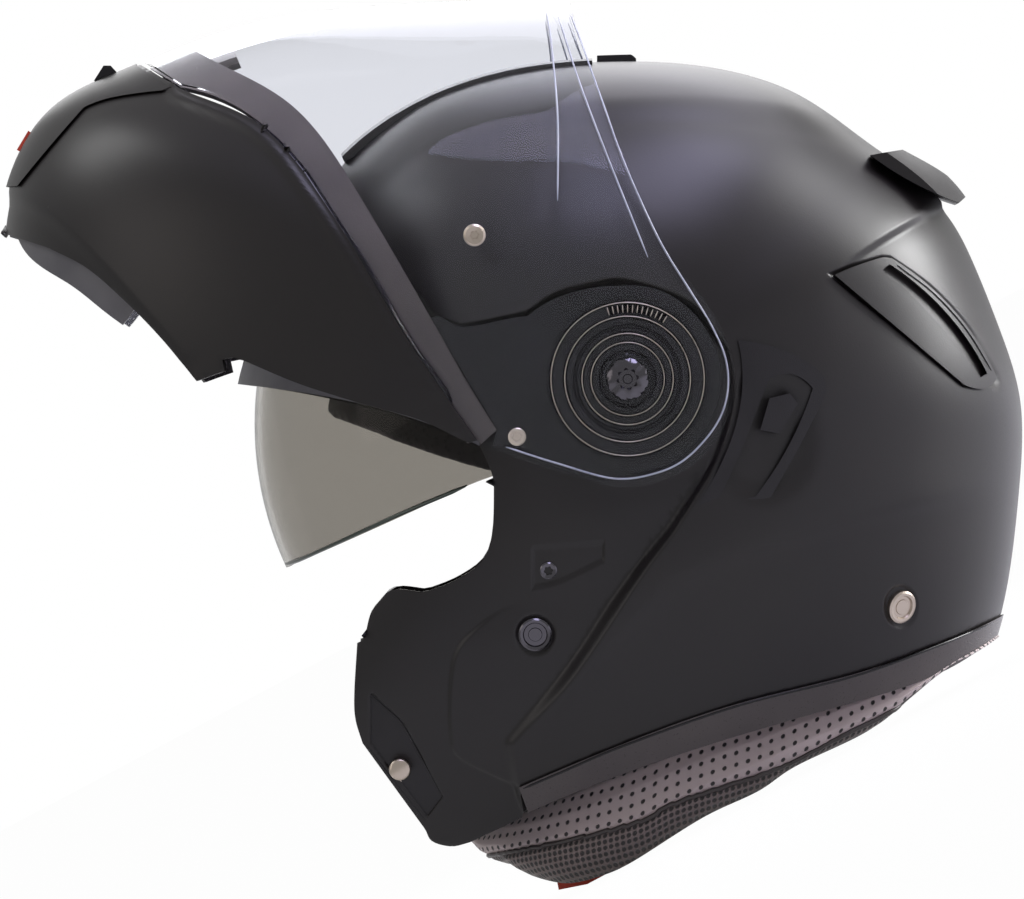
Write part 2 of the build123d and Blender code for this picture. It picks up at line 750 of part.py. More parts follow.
pieces = {
    "outer_shell": outer_shell,
    "eps_liner": make_liner(),
    "crown_pad": make_crown_pad(),
    "cheek_pad_left": cheek_left,
    "cheek_pad_right": cheek_right,
    "neck_roll": make_neck_roll(),
    "rim_trim": make_rim_trim(),
    "brow_trim": make_brow_trim(),
    "control_panel_left": panel_left,
    "control_panel_right": panel_right,
    "latch_plate_left": latch_left,
    "latch_plate_right": latch_right,
    "latch_pins": both_sides(make_latch_pin()),
    "strap_rivets": both_sides(front_stud),
    "rear_studs": both_sides(rear_stud),
    "shell_screws": both_sides(shell_screw),
    "pivot_pins": both_sides(make_pivot_pin()),
    "pivot_knobs": both_sides(make_knob()),
    "sun_pivots": both_sides(make_sun_pivot()),
    "top_vent_scoop": make_scoop(),
    "top_vent_slider": make_vent_slider(),
    "rear_spoiler": make_spoiler(),
    "side_exhaust_left": exhaust_left,
    "side_exhaust_right": exhaust_right,
    "chin_strap_left": strap_left,
    "chin_strap_right": strap_right,
    "buckle_body": make_buckle_body(),
    "buckle_lever": make_buckle_lever(),
    "sun_visor": make_sun_visor(),
    "sun_slider": make_slider(),
    "chin_bar": chin_bar,
    "chin_front_panel": make_front_panel() - make_button(run_gap),
    "chin_liner": chin_liner,
    "chin_arm_left": arm_left,
    "chin_arm_right": arm_right,
    "ratchet_plates": both_sides(make_ratchet()),
    "visor_gasket": make_gasket(),
    "breath_guard": make_breath_guard(),
    "arm_screws": both_sides(make_arm_screw()),
    "chin_vent_tab": make_vent_tab(),
    "release_button": make_button(),
    "latch_slides": both_sides(make_latch_slide()),
    "visor": visor,
    "visor_pins": both_sides(make_visor_pin()),
}
for name, piece in pieces.items():
    solids = piece if isinstance(piece, list) else [piece]
    print(name, [len(s.solids()) for s in solids], [round(s.volume) for s in solids],
          [s.is_valid for s in solids])
    save(piece, name)
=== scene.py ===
import bpy, bmesh
import numpy as np
from math import radians, degrees, cos, sin, atan2, pi
from mathutils import Vector, Matrix
from mathutils.bvhtree import BVHTree


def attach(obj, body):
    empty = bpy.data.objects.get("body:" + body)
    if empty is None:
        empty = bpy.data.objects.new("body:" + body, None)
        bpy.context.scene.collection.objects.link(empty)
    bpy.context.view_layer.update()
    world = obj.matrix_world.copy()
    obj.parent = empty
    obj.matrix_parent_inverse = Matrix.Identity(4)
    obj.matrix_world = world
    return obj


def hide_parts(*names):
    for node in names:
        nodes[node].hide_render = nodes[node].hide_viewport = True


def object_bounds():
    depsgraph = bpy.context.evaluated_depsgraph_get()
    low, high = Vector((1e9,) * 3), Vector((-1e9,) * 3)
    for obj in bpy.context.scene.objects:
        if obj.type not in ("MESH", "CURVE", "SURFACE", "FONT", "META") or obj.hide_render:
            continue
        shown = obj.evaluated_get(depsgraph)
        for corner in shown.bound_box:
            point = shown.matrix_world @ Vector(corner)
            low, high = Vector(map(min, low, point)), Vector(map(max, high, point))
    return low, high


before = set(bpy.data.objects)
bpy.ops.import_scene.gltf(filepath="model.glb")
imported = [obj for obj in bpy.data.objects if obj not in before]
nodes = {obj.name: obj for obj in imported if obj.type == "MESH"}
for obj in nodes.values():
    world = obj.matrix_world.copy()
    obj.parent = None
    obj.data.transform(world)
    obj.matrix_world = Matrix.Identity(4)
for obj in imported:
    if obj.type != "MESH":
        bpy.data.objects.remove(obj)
cadLow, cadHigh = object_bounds()

# The photo's attitude: the helmet is tipped back, so its sheet is turned about the hinge axis
view = {
    "pixel": 0.00036,          # metres on the object for one pixel of the photo
    "hinge": (626, 380),       # the hinge axis in the photo
    "middle": (512, 449.5),    # the photo's middle
    "wide": 1024,
    "tilt": radians(28),
    "cameraAway": 9.0,
    "cameraClip": (0.1, 50),
    "sensor": 0.036,
}
pixel = view["pixel"]
sheetRight = Vector((cos(view["tilt"]), 0, -sin(view["tilt"])))
sheetUp = Vector((sin(view["tilt"]), 0, cos(view["tilt"])))


def onSheet(across, down, y=0.0):
    right = (across - view["hinge"][0]) * pixel
    up = (view["hinge"][1] - down) * pixel
    return sheetRight * right + sheetUp * up + Vector((0, y, 0))


def linear(code):
    channels = [int(code[k:k + 2], 16) / 255 for k in (1, 3, 5)]
    return tuple(c / 12.92 if c <= 0.04045 else ((c + 0.055) / 1.055) ** 2.4 for c in channels) + (1,)


# One node with its settings, its colour stops, and a link or a value for each socket named
def addNode(tree, kind, sockets=None, stops=(), **settings):
    node = tree.nodes.new(kind)
    for key, value in settings.items():
        if key[0].isupper():
            node.inputs[key.replace("_", " ")].default_value = value
        else:
            setattr(node, key, value)
    for k, (position, code) in enumerate(stops):
        node.color_ramp.elements[k].position = position
        node.color_ramp.elements[k].color = linear(code)
    for socket, source in (sockets or {}).items():
        if isinstance(source, bpy.types.NodeSocket):
            tree.links.new(source, node.inputs[socket])
        else:
            node.inputs[socket].default_value = source
    return node


def newMaterial(name, colour, roughness, **sockets):
    material = bpy.data.materials.new(name)
    material.use_nodes = True
    tree = material.node_tree
    shader = tree.nodes["Principled BSDF"]
    shader.inputs["Base Color"].default_value = linear(colour)
    shader.inputs["Roughness"].default_value = roughness
    for key, value in sockets.items():
        shader.inputs[key.replace("_", " ")].default_value = value
    return material, tree, shader


def objectCoordinates(tree):
    return addNode(tree, "ShaderNodeTexCoord").outputs["Object"]


# Bump and roughness from one noise whose grain is size metres
def grain(tree, shader, size, strength, spread=0.06):
    place = objectCoordinates(tree)
    noise = addNode(tree, "ShaderNodeTexNoise", {"Vector": place}, Scale=1 / size, Detail=3.0)
    bump = addNode(tree, "ShaderNodeBump", {"Height": noise.outputs["Fac"]}, Strength=strength, Distance=size)
    tree.links.new(bump.outputs["Normal"], shader.inputs["Normal"])
    base = shader.inputs["Roughness"].default_value
    rough = addNode(tree, "ShaderNodeMapRange", {"Value": noise.outputs["Fac"],
                                                 "To Min": max(base - spread, 0.02), "To Max": base + spread})
    tree.links.new(rough.outputs["Result"], shader.inputs["Roughness"])


# Slow colour drift between two close shades
def mottle(tree, shader, first, second, size):
    place = objectCoordinates(tree)
    noise = addNode(tree, "ShaderNodeTexNoise", {"Vector": place}, Scale=1 / size, Detail=2.0)
    ramp = addNode(tree, "ShaderNodeValToRGB", {"Fac": noise.outputs["Fac"]}, ((0.35, first), (0.65, second)))
    tree.links.new(ramp.outputs["Color"], shader.inputs["Base Color"])


def mattPaint():
    material, tree, shader = newMaterial("mattClearCoat", "#191615", 0.38, Specular_IOR_Level=0.36)
    mottle(tree, shader, "#171415", "#1b1817", 0.06)
    grain(tree, shader, 0.0006, 0.05, 0.04)       # fine orange peel of a matt clear coat
    return material


def glossPlastic():
    material, tree, shader = newMaterial("polishedAbs", "#121013", 0.14, Specular_IOR_Level=0.3)
    mottle(tree, shader, "#111012", "#161418", 0.03)
    grain(tree, shader, 0.0015, 0.02, 0.03)       # slight flow marks of a polished mould
    return material


def satinPlastic():
    material, tree, shader = newMaterial("satinNylon", "#1d1b1d", 0.4, Specular_IOR_Level=0.3)
    mottle(tree, shader, "#1b191b", "#201e20", 0.02)
    grain(tree, shader, 0.0004, 0.15)             # spark-eroded mould grain
    return material


def greyPlastic():
    material, tree, shader = newMaterial("greyAbs", "#57565a", 0.45)
    mottle(tree, shader, "#525156", "#5e5d61", 0.02)
    grain(tree, shader, 0.0004, 0.12)             # the same grain, a little shallower
    return material


def edgeRubber():
    material, tree, shader = newMaterial("glossEpdm", "#1b191b", 0.3, Specular_IOR_Level=0.4)
    mottle(tree, shader, "#403a39", "#484240", 0.03)
    grain(tree, shader, 0.0008, 0.08, 0.08)       # soft waves of extruded rubber
    return material


# Moulded foam, whose 3.5 mm beads show as a cobbled skin
def eps():
    material, tree, shader = newMaterial("expandedPolystyrene", "#252428", 0.8)
    beads = addNode(tree, "ShaderNodeTexVoronoi", {"Vector": objectCoordinates(tree)}, Scale=1 / 0.0035)
    away = beads.outputs["Distance"]
    ramp = addNode(tree, "ShaderNodeValToRGB", {"Fac": away}, ((0, "#2e2d31"), (1, "#19181b")))
    tree.links.new(ramp.outputs["Color"], shader.inputs["Base Color"])
    bump = addNode(tree, "ShaderNodeBump", {"Height": away}, Strength=0.4, Distance=0.0008, invert=True)
    tree.links.new(bump.outputs["Normal"], shader.inputs["Normal"])
    return material


# Knitted spacer fabric: dark holes, cell metres apart, in a paler net
def spacerMesh(name, cell, dark, pale):
    material, tree, shader = newMaterial(name, pale, 0.85, Sheen_Weight=0.25, Sheen_Roughness=0.5)
    place = objectCoordinates(tree)
    holes = addNode(tree, "ShaderNodeTexVoronoi", {"Vector": place}, Scale=1 / cell, Randomness=0.35)
    ramp = addNode(tree, "ShaderNodeValToRGB", {"Fac": holes.outputs["Distance"]},
                   ((0.22, dark), (0.42, pale)))
    tree.links.new(ramp.outputs["Color"], shader.inputs["Base Color"])
    bump = addNode(tree, "ShaderNodeBump", {"Height": ramp.outputs["Color"]}, Strength=0.7, Distance=cell / 3)
    tree.links.new(bump.outputs["Normal"], shader.inputs["Normal"])
    return material


rollPattern = {
    "holePitch": 0.0042, "holeEdge": (0.02, 0.045), "leather": ("#211c1c", "#c2b3b0"),
    "knitPitch": 0.0022, "knitEdge": (0.05, 0.2), "knitShift": 0.3, "knit": ("#161212", "#80736f"),
    "bumpDepth": 0.0008,
}


# Leather-look band with rows of punched holes over a knitted underside, by the roll's own UV in metres
def rollCover():
    facts = rollPattern
    material, tree, shader = newMaterial("rollLeatherAndMesh", "#2a2625", 0.55, Sheen_Weight=0.2)
    flat = addNode(tree, "ShaderNodeTexCoord").outputs["UV"]
    parts = addNode(tree, "ShaderNodeSeparateXYZ", {"Vector": flat})

    # Square of the distance from the nearest line of a grid
    def awaySquared(axis, pitch, shift):
        value = parts.outputs[axis]
        for operation, second in (("DIVIDE", pitch), ("ADD", shift), ("FRACT", 0.5), ("SUBTRACT", 0.5)):
            value = addNode(tree, "ShaderNodeMath", {0: value, 1: second}, operation=operation).outputs[0]
        return addNode(tree, "ShaderNodeMath", {0: value, 1: value}, operation="MULTIPLY").outputs[0]

    # 0 in the round spots of a grid and 1 between them
    def betweenSpots(pitch, shift, edge):
        both = addNode(tree, "ShaderNodeMath",
                       {0: awaySquared("X", pitch, 0), 1: awaySquared("Y", pitch, shift)}, operation="ADD")
        step = addNode(tree, "ShaderNodeMapRange",
                       {"Value": both.outputs[0], "From Min": edge[0], "From Max": edge[1]},
                       interpolation_type="SMOOTHSTEP")
        return step.outputs["Result"]

    hole = betweenSpots(facts["holePitch"], 0, facts["holeEdge"])
    knit = betweenSpots(facts["knitPitch"], facts["knitShift"], facts["knitEdge"])
    band = addNode(tree, "ShaderNodeMath", {0: parts.outputs["Y"], 1: 0}, operation="GREATER_THAN").outputs[0]
    height = addNode(tree, "ShaderNodeMix", {"Factor": band, "A": knit, "B": hole}, data_type="FLOAT")
    shades = [[linear(code) for code in facts[key]] for key in ("leather", "knit")]
    leather = addNode(tree, "ShaderNodeMixRGB", {"Fac": hole, 1: shades[0][0], 2: shades[0][1]})
    fabric = addNode(tree, "ShaderNodeMixRGB", {"Fac": knit, 1: shades[1][0], 2: shades[1][1]})
    both = addNode(tree, "ShaderNodeMixRGB", {"Fac": band, 1: fabric.outputs[0], 2: leather.outputs[0]})
    tree.links.new(both.outputs[0], shader.inputs["Base Color"])
    bump = addNode(tree, "ShaderNodeBump", {"Height": height.outputs[0]}, Strength=0.8,
                   Distance=facts["bumpDepth"])
    tree.links.new(bump.outputs["Normal"], shader.inputs["Normal"])
    return material


# Woven polyester, its threads drawn about as coarse as they still show
def webbing():
    material, tree, shader = newMaterial("polyesterWebbing", "#201f21", 0.7, Sheen_Weight=0.3)
    thread = 0.0018
    weave = addNode(tree, "ShaderNodeTexWave", {"Vector": objectCoordinates(tree)},
                    Scale=1 / thread / (2 * pi) * 3, Distortion=1.0)
    bump = addNode(tree, "ShaderNodeBump", {"Height": weave.outputs["Fac"]}, Strength=0.5, Distance=0.0004)
    ramp = addNode(tree, "ShaderNodeValToRGB", {"Fac": weave.outputs["Fac"]},
                   ((0, "#171618"), (1, "#2a292c")))
    tree.links.new(ramp.outputs["Color"], shader.inputs["Base Color"])
    tree.links.new(bump.outputs["Normal"], shader.inputs["Normal"])
    return material


def metal(name, colour, roughness):
    material, tree, shader = newMaterial(name, colour, roughness, Metallic=1.0)
    grain(tree, shader, 0.0005, 0.06)             # fine matt of a plated surface
    return material


# Pale opaque edge of the clear sheet: its pale colour is a painted highlight for the light its edges catch
def paintedEdgeHighlight():
    material, tree, shader = newMaterial("paintedEdgeHighlightPlastic", "#a9adba", 0.22)
    mottle(tree, shader, "#a2a6b4", "#b3b6c2", 0.01)
    grain(tree, shader, 0.0004, 0.05)
    return material


def redPlastic():
    material, tree, shader = newMaterial("redAcetal", "#e8523a", 0.35)
    mottle(tree, shader, "#e04a33", "#ec5a40", 0.01)
    grain(tree, shader, 0.0005, 0.1)              # light mould grain
    return material


# Hard-coated polycarbonate. Lamps shine through it, so what lies behind stays lit
def clearSheet(name, tint, lampTint, roughness):
    material, tree, shader = newMaterial(name, tint, roughness, Transmission_Weight=1.0, IOR=1.15)
    noise = addNode(tree, "ShaderNodeTexNoise", {"Vector": objectCoordinates(tree)},
                    Scale=1 / 0.004, Detail=2.0)
    bump = addNode(tree, "ShaderNodeBump", {"Height": noise.outputs["Fac"]}, Strength=0.004, Distance=0.0004)
    tree.links.new(bump.outputs["Normal"], shader.inputs["Normal"])
    lampWay = addNode(tree, "ShaderNodeBsdfTransparent", {"Color": linear(lampTint)})
    path = addNode(tree, "ShaderNodeLightPath")
    mix = addNode(tree, "ShaderNodeMixShader", {0: path.outputs["Is Shadow Ray"], 1: shader.outputs["BSDF"],
                                                2: lampWay.outputs["BSDF"]})
    tree.links.new(mix.outputs["Shader"], tree.nodes["Material Output"].inputs["Surface"])
    return material


paint = mattPaint()
gloss = glossPlastic()
satin = satinPlastic()
grey = greyPlastic()
rubber = edgeRubber()
foam = eps()
padMesh = spacerMesh("padSpacerMesh", 0.0022, "#0e0d0e", "#2c292b")
strapWeb = webbing()
rollSkin = rollCover()
nickel = metal("satinNickel", "#b8aca0", 0.32)
blackChrome = metal("blackChrome", "#57555a", 0.18)
red = redPlastic()
edgeGlint = paintedEdgeHighlight()
lensEdge = metal("smokedEdge", "#4a504c", 0.3)
clear = clearSheet("clearPolycarbonate", "#eeeff3", "#f0f2f6", 0.0)
smoke = clearSheet("smokePolycarbonate", "#b8b5b0", "#9c9b99", 0.02)

materialOf = {
    "outer_shell": paint, "eps_liner": foam, "crown_pad": padMesh, "cheek_pad_left": padMesh,
    "cheek_pad_right": padMesh, "neck_roll": rollSkin, "rim_trim": rubber, "brow_trim": grey,
    "control_panel_left": satin, "control_panel_right": satin, "latch_plate_left": satin,
    "latch_plate_right": satin, "latch_pins": nickel, "strap_rivets": blackChrome,
    "rear_studs": nickel, "shell_screws": blackChrome, "pivot_pins": nickel, "pivot_knobs": gloss,
    "sun_pivots": satin, "top_vent_scoop": paint, "top_vent_slider": satin, "rear_spoiler": paint,
    "side_exhaust_left": paint, "side_exhaust_right": paint, "chin_strap_left": strapWeb,
    "chin_strap_right": strapWeb, "buckle_body": nickel, "buckle_lever": red, "sun_visor": smoke,
    "sun_slider": satin, "chin_bar": paint, "chin_front_panel": paint, "chin_liner": grey,
    "chin_arm_left": gloss, "chin_arm_right": gloss, "ratchet_plates": gloss, "visor_gasket": rubber,
    "breath_guard": rubber, "arm_screws": blackChrome, "chin_vent_tab": satin, "release_button": red,
    "latch_slides": nickel, "visor": clear, "visor_pins": nickel,
}
for name, node in nodes.items():
    node.data.materials.clear()
    node.data.materials.append(materialOf[name])
print("materials set on", len(nodes), "nodes")


# Smooth closed curve through the corners, as the shell's own side silhouette runs
def closedCurve(corners, perSpan=24):
    points = np.array(corners, float)
    count = len(points)
    steps = np.linalg.norm(np.roll(points, -1, 0) - points, axis=1)
    system, pull = np.zeros((count, count)), np.zeros((count, 2))
    for k in range(count):
        after, following = steps[k], (k + 1) % count
        system[k, k - 1] += steps[k - 1]
        system[k, k] += 2 * (steps[k - 1] + after)
        system[k, following] += after
        pull[k] = 6 * ((points[following] - points[k]) / after - (points[k] - points[k - 1]) / steps[k - 1])
    bend = np.linalg.solve(system, pull)
    share = np.linspace(0, 1, perSpan, endpoint=False)[:, None]
    spans = []
    for k in range(count):
        following, rest = (k + 1) % count, 1 - share
        spans.append(rest * points[k] + share * points[following] + steps[k] ** 2 / 6 *
                     ((rest ** 3 - rest) * bend[k] + (share ** 3 - share) * bend[following]))
    return np.concatenate(spans)


# Smooth open run through its corners; two corners make a straight one
def openCurve(corners, perSpan=10):
    points = np.array(corners, float)
    if len(points) == 2:
        return points
    before = np.vstack([2 * points[0] - points[1], points[:-1]])
    after = np.vstack([points[1:], 2 * points[-1] - points[-2]])
    share = np.linspace(0, 1, perSpan, endpoint=False)[:, None]
    runs = []
    for k in range(len(points) - 1):
        start, end = (after[k] - before[k]) / 2, (after[k + 1] - before[k + 1]) / 2
        gap = points[k + 1] - points[k]
        runs.append(points[k] + start * share + (3 * gap - 2 * start - end) * share ** 2 +
                    (start + end - 2 * gap) * share ** 3)
    return np.vstack(runs + [points[-1:]])


# Outline of runs that meet at sharp corners
def ringOf(*runs):
    curves = [openCurve(run) for run in runs]
    return np.vstack([curve[:-1] for curve in curves[:-1]] + curves[-1:])


def smoothStep(value):
    value = np.clip(value, 0, 1)
    return value * value * (3 - 2 * value)


# Distance of each spot from a line of points, and the nearest point on it
def lineDistance(spots, line):
    best = np.full(len(spots), 1e9)
    nearest = np.zeros_like(spots)
    for start, end in zip(line[:-1], line[1:]):
        way = end - start
        share = np.clip(((spots - start) @ way) / max(way @ way, 1e-12), 0, 1)
        foot = start + share[:, None] * way
        away = np.linalg.norm(spots - foot, axis=1)
        closer = away < best
        best[closer] = away[closer]
        nearest[closer] = foot[closer]
    return best, nearest


def insideRing(spots, ring):
    within = np.zeros(len(spots), bool)
    for start, end in zip(ring, np.roll(ring, -1, 0)):
        crosses = (start[1] > spots[:, 1]) != (end[1] > spots[:, 1])
        rise = end[1] - start[1] if end[1] != start[1] else 1e-9
        at = start[0] + (spots[:, 1] - start[1]) / rise * (end[0] - start[0])
        within ^= crosses & (spots[:, 0] < at)
    return within


# 0 outside a ring, rising to 1 over band pixels inside its edge
def depthIn(spots, ring, band):
    away, _ = lineDistance(spots, np.vstack([ring, ring[:1]]))
    return np.where(insideRing(spots, ring), smoothStep(away / band), 0.0)


# 1 along a crease, falling to 0 at its two ends, each given as a place and a length
def fadedEnds(spots, start, end):
    return smoothStep((spots[:, 0] - start[0]) / start[1]) * smoothStep((end[0] - spots[:, 0]) / end[1])


# Side outline turned about the hinge axis, as the chin bar flips up
def turned(corners, degreesUp):
    angle = radians(degreesUp)
    out = []
    for across, down in corners:
        right, up = across - view["hinge"][0], view["hinge"][1] - down
        out.append((view["hinge"][0] + right * cos(angle) + up * sin(angle),
                    view["hinge"][1] - (up * cos(angle) - right * sin(angle))))
    return out


# Side silhouette swept out to the hubs as a superellipse
class SkinForm:

    def __init__(self, silhouette, halfWidth, flatShare=0.985, sidePower=2.3, planPower=2.4):
        curve = closedCurve(silhouette) - np.array(view["hinge"], float)
        self.curve = np.column_stack([curve[:, 0], -curve[:, 1]])
        angles = np.arctan2(self.curve[:, 1], self.curve[:, 0])
        order = np.argsort(angles)
        self.angles, self.reaches = angles[order], np.hypot(*self.curve.T)[order]
        self.halfWidth, self.flatShare = halfWidth, flatShare
        self.sidePower, self.planPower = sidePower, planPower

    def shares(self, right, up):
        reach = np.interp(np.arctan2(up, right), self.angles, self.reaches, period=2 * pi)
        side = np.clip(np.hypot(right, up) / reach, 0, 1)
        return side, np.clip(1 - side ** self.sidePower, 0, 1) ** (1 / self.planPower)

    def out(self, right, up):
        return self.halfWidth * np.minimum(self.shares(right, up)[1], self.flatShare)


skinMaking = {
    "middle": 1e-6,                        # nearer than this to the middle plane counts as on it
    "weld": 0.01, "outlineWeld": 0.3,      # pixels
    "rimShare": 0.93,                      # past this share of its reach the form turns over the silhouette
    "bevelWidth": 0.0006, "bevelAngle": radians(60),
}


# A finished mesh becomes a smooth piece that rides a body
def addPiece(name, mesh, material, body, replaced=None):
    mesh.polygons.foreach_set("use_smooth", [True] * len(mesh.polygons))
    mesh.materials.append(material)
    piece = bpy.data.objects.new(name, mesh)
    bpy.context.scene.collection.objects.link(piece)
    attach(piece, body)
    if replaced:
        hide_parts(replaced)
    return piece


def meshOf(name, form):
    mesh = bpy.data.meshes.new(name)
    form.to_mesh(mesh)
    form.free()
    return mesh


# Where the verts are, in pixels from the hinge and as spots in the photo
def sheetPlaces(sheet):
    places = np.array([vertex.co[:] for vertex in sheet.verts])
    return places, places[:, :2] * (1, -1) + view["hinge"]


def sidesOf(heights):
    return np.where(np.abs(heights) < skinMaking["middle"], 0, np.sign(heights))


# Grid wrapped over the form: its length runs round the silhouette, its width from side to side
def wrapGrid(sheet, form, turns, rings):
    bmesh.ops.create_grid(sheet, x_segments=turns, y_segments=rings, size=1)
    closed = np.vstack([form.curve, form.curve[:1]])
    lengths = np.cumsum(np.linalg.norm(np.diff(closed, axis=0), axis=1))
    lengths = np.concatenate([[0], lengths]) / lengths[-1]
    flat = np.array([vertex.co[:2] for vertex in sheet.verts])
    along = (flat[:, 0] + 1) / 2
    side = sidesOf(flat[:, 1])
    swing = (1 - np.abs(flat[:, 1])) * pi / 2
    share = np.sin(swing) ** (2 / form.sidePower)
    right = np.interp(along, lengths, closed[:, 0]) * share
    up = np.interp(along, lengths, closed[:, 1]) * share
    out = np.where(side == 0, 0, np.minimum(np.cos(swing) ** (2 / form.planPower), form.flatShare))
    for vertex, place in zip(sheet.verts, np.column_stack([right, up, side * out * form.halfWidth])):
        vertex.co = place
    bmesh.ops.remove_doubles(sheet, verts=sheet.verts, dist=skinMaking["weld"])


# Drops the faces outside the outline and draws the verts left beyond it onto its line
def trimTo(sheet, form, outline):
    _, spots = sheetPlaces(sheet)
    for vertex, kept in zip(sheet.verts, insideRing(spots, outline)):
        vertex.tag = bool(kept)
    outside = [face for face in sheet.faces if not any(vertex.tag for vertex in face.verts)]
    bmesh.ops.delete(sheet, geom=outside, context="FACES")
    places, spots = sheetPlaces(sheet)
    _, nearest = lineDistance(spots, np.vstack([outline, outline[:1]]))
    right, up = nearest[:, 0] - view["hinge"][0], view["hinge"][1] - nearest[:, 1]
    drawn = np.column_stack([right, up, sidesOf(places[:, 2]) * form.out(right, up)])
    for vertex, kept, place in zip(sheet.verts, insideRing(spots, outline), drawn):
        if not kept:
            vertex.co = place
    bmesh.ops.remove_doubles(sheet, verts=sheet.verts, dist=skinMaking["outlineWeld"])


# Splits the faces near the creases twice and lays the new verts back on the form
def refineAlong(sheet, form, lines, reach):
    for within in (reach, reach / 2):
        places, spots = sheetPlaces(sheet)
        near = np.min([lineDistance(spots, line)[0] for line in lines], axis=0)
        share, _ = form.shares(places[:, 0], places[:, 1])
        for vertex, close in zip(sheet.verts, (near < within) & (share < skinMaking["rimShare"])):
            vertex.tag = bool(close)
        fine = [edge for edge in sheet.edges if edge.verts[0].tag and edge.verts[1].tag]
        bmesh.ops.subdivide_edges(sheet, edges=fine, cuts=1, use_grid_fill=True)
        places, _ = sheetPlaces(sheet)
        share, _ = form.shares(places[:, 0], places[:, 1])
        out = form.out(places[:, 0], places[:, 1])
        for vertex, sideShare, height in zip(sheet.verts, share, out):
            if sideShare < skinMaking["rimShare"]:
                vertex.co.z = height if vertex.co.z > 0 else -height


# Raises the relief along the normals, sinks the recess sideways and turns the sheet into the frame
def raiseRelief(sheet, form, relief):
    sheet.normal_update()
    places, spots = sheetPlaces(sheet)
    inward, raised = relief(spots, form.shares(places[:, 0], places[:, 1])[1])
    if sum(1 if vertex.normal.dot(vertex.co) > 0 else -1 for vertex in sheet.verts) < 0:
        bmesh.ops.reverse_faces(sheet, faces=sheet.faces)
        sheet.normal_update()
    for vertex, place, depth, height in zip(sheet.verts, places, inward, raised):
        moved = Vector(place) + vertex.normal * (height / pixel)
        moved.z -= depth / pixel * (1 if place[2] > 0 else -1)
        vertex.co = (sheetRight * moved.x + sheetUp * moved.y) * pixel + Vector((0, moved.z * pixel, 0))
    bmesh.ops.reverse_faces(sheet, faces=sheet.faces)      # the turn mirrors the sheet


# Dense skin of a form, cut to its side outline, finer along its creases, with relief raised in it
def makeSkin(name, facts, form, relief, lines, body, replaced):
    sheet = bmesh.new()
    wrapGrid(sheet, form, facts["turns"], facts["rings"])
    trimTo(sheet, form, facts["outline"])
    refineAlong(sheet, form, lines, facts["refineWithin"])
    raiseRelief(sheet, form, relief)
    piece = addPiece(name, meshOf(name, sheet), paint, body, replaced)
    wall = piece.modifiers.new("wall", "SOLIDIFY")
    wall.thickness, wall.offset = facts["wall"], -1
    edge = piece.modifiers.new("edge", "BEVEL")
    edge.width, edge.segments = skinMaking["bevelWidth"], 2
    edge.limit_method, edge.angle_limit = "ANGLE", skinMaking["bevelAngle"]
    print(name, "has", len(piece.data.polygons), "faces before its wall")


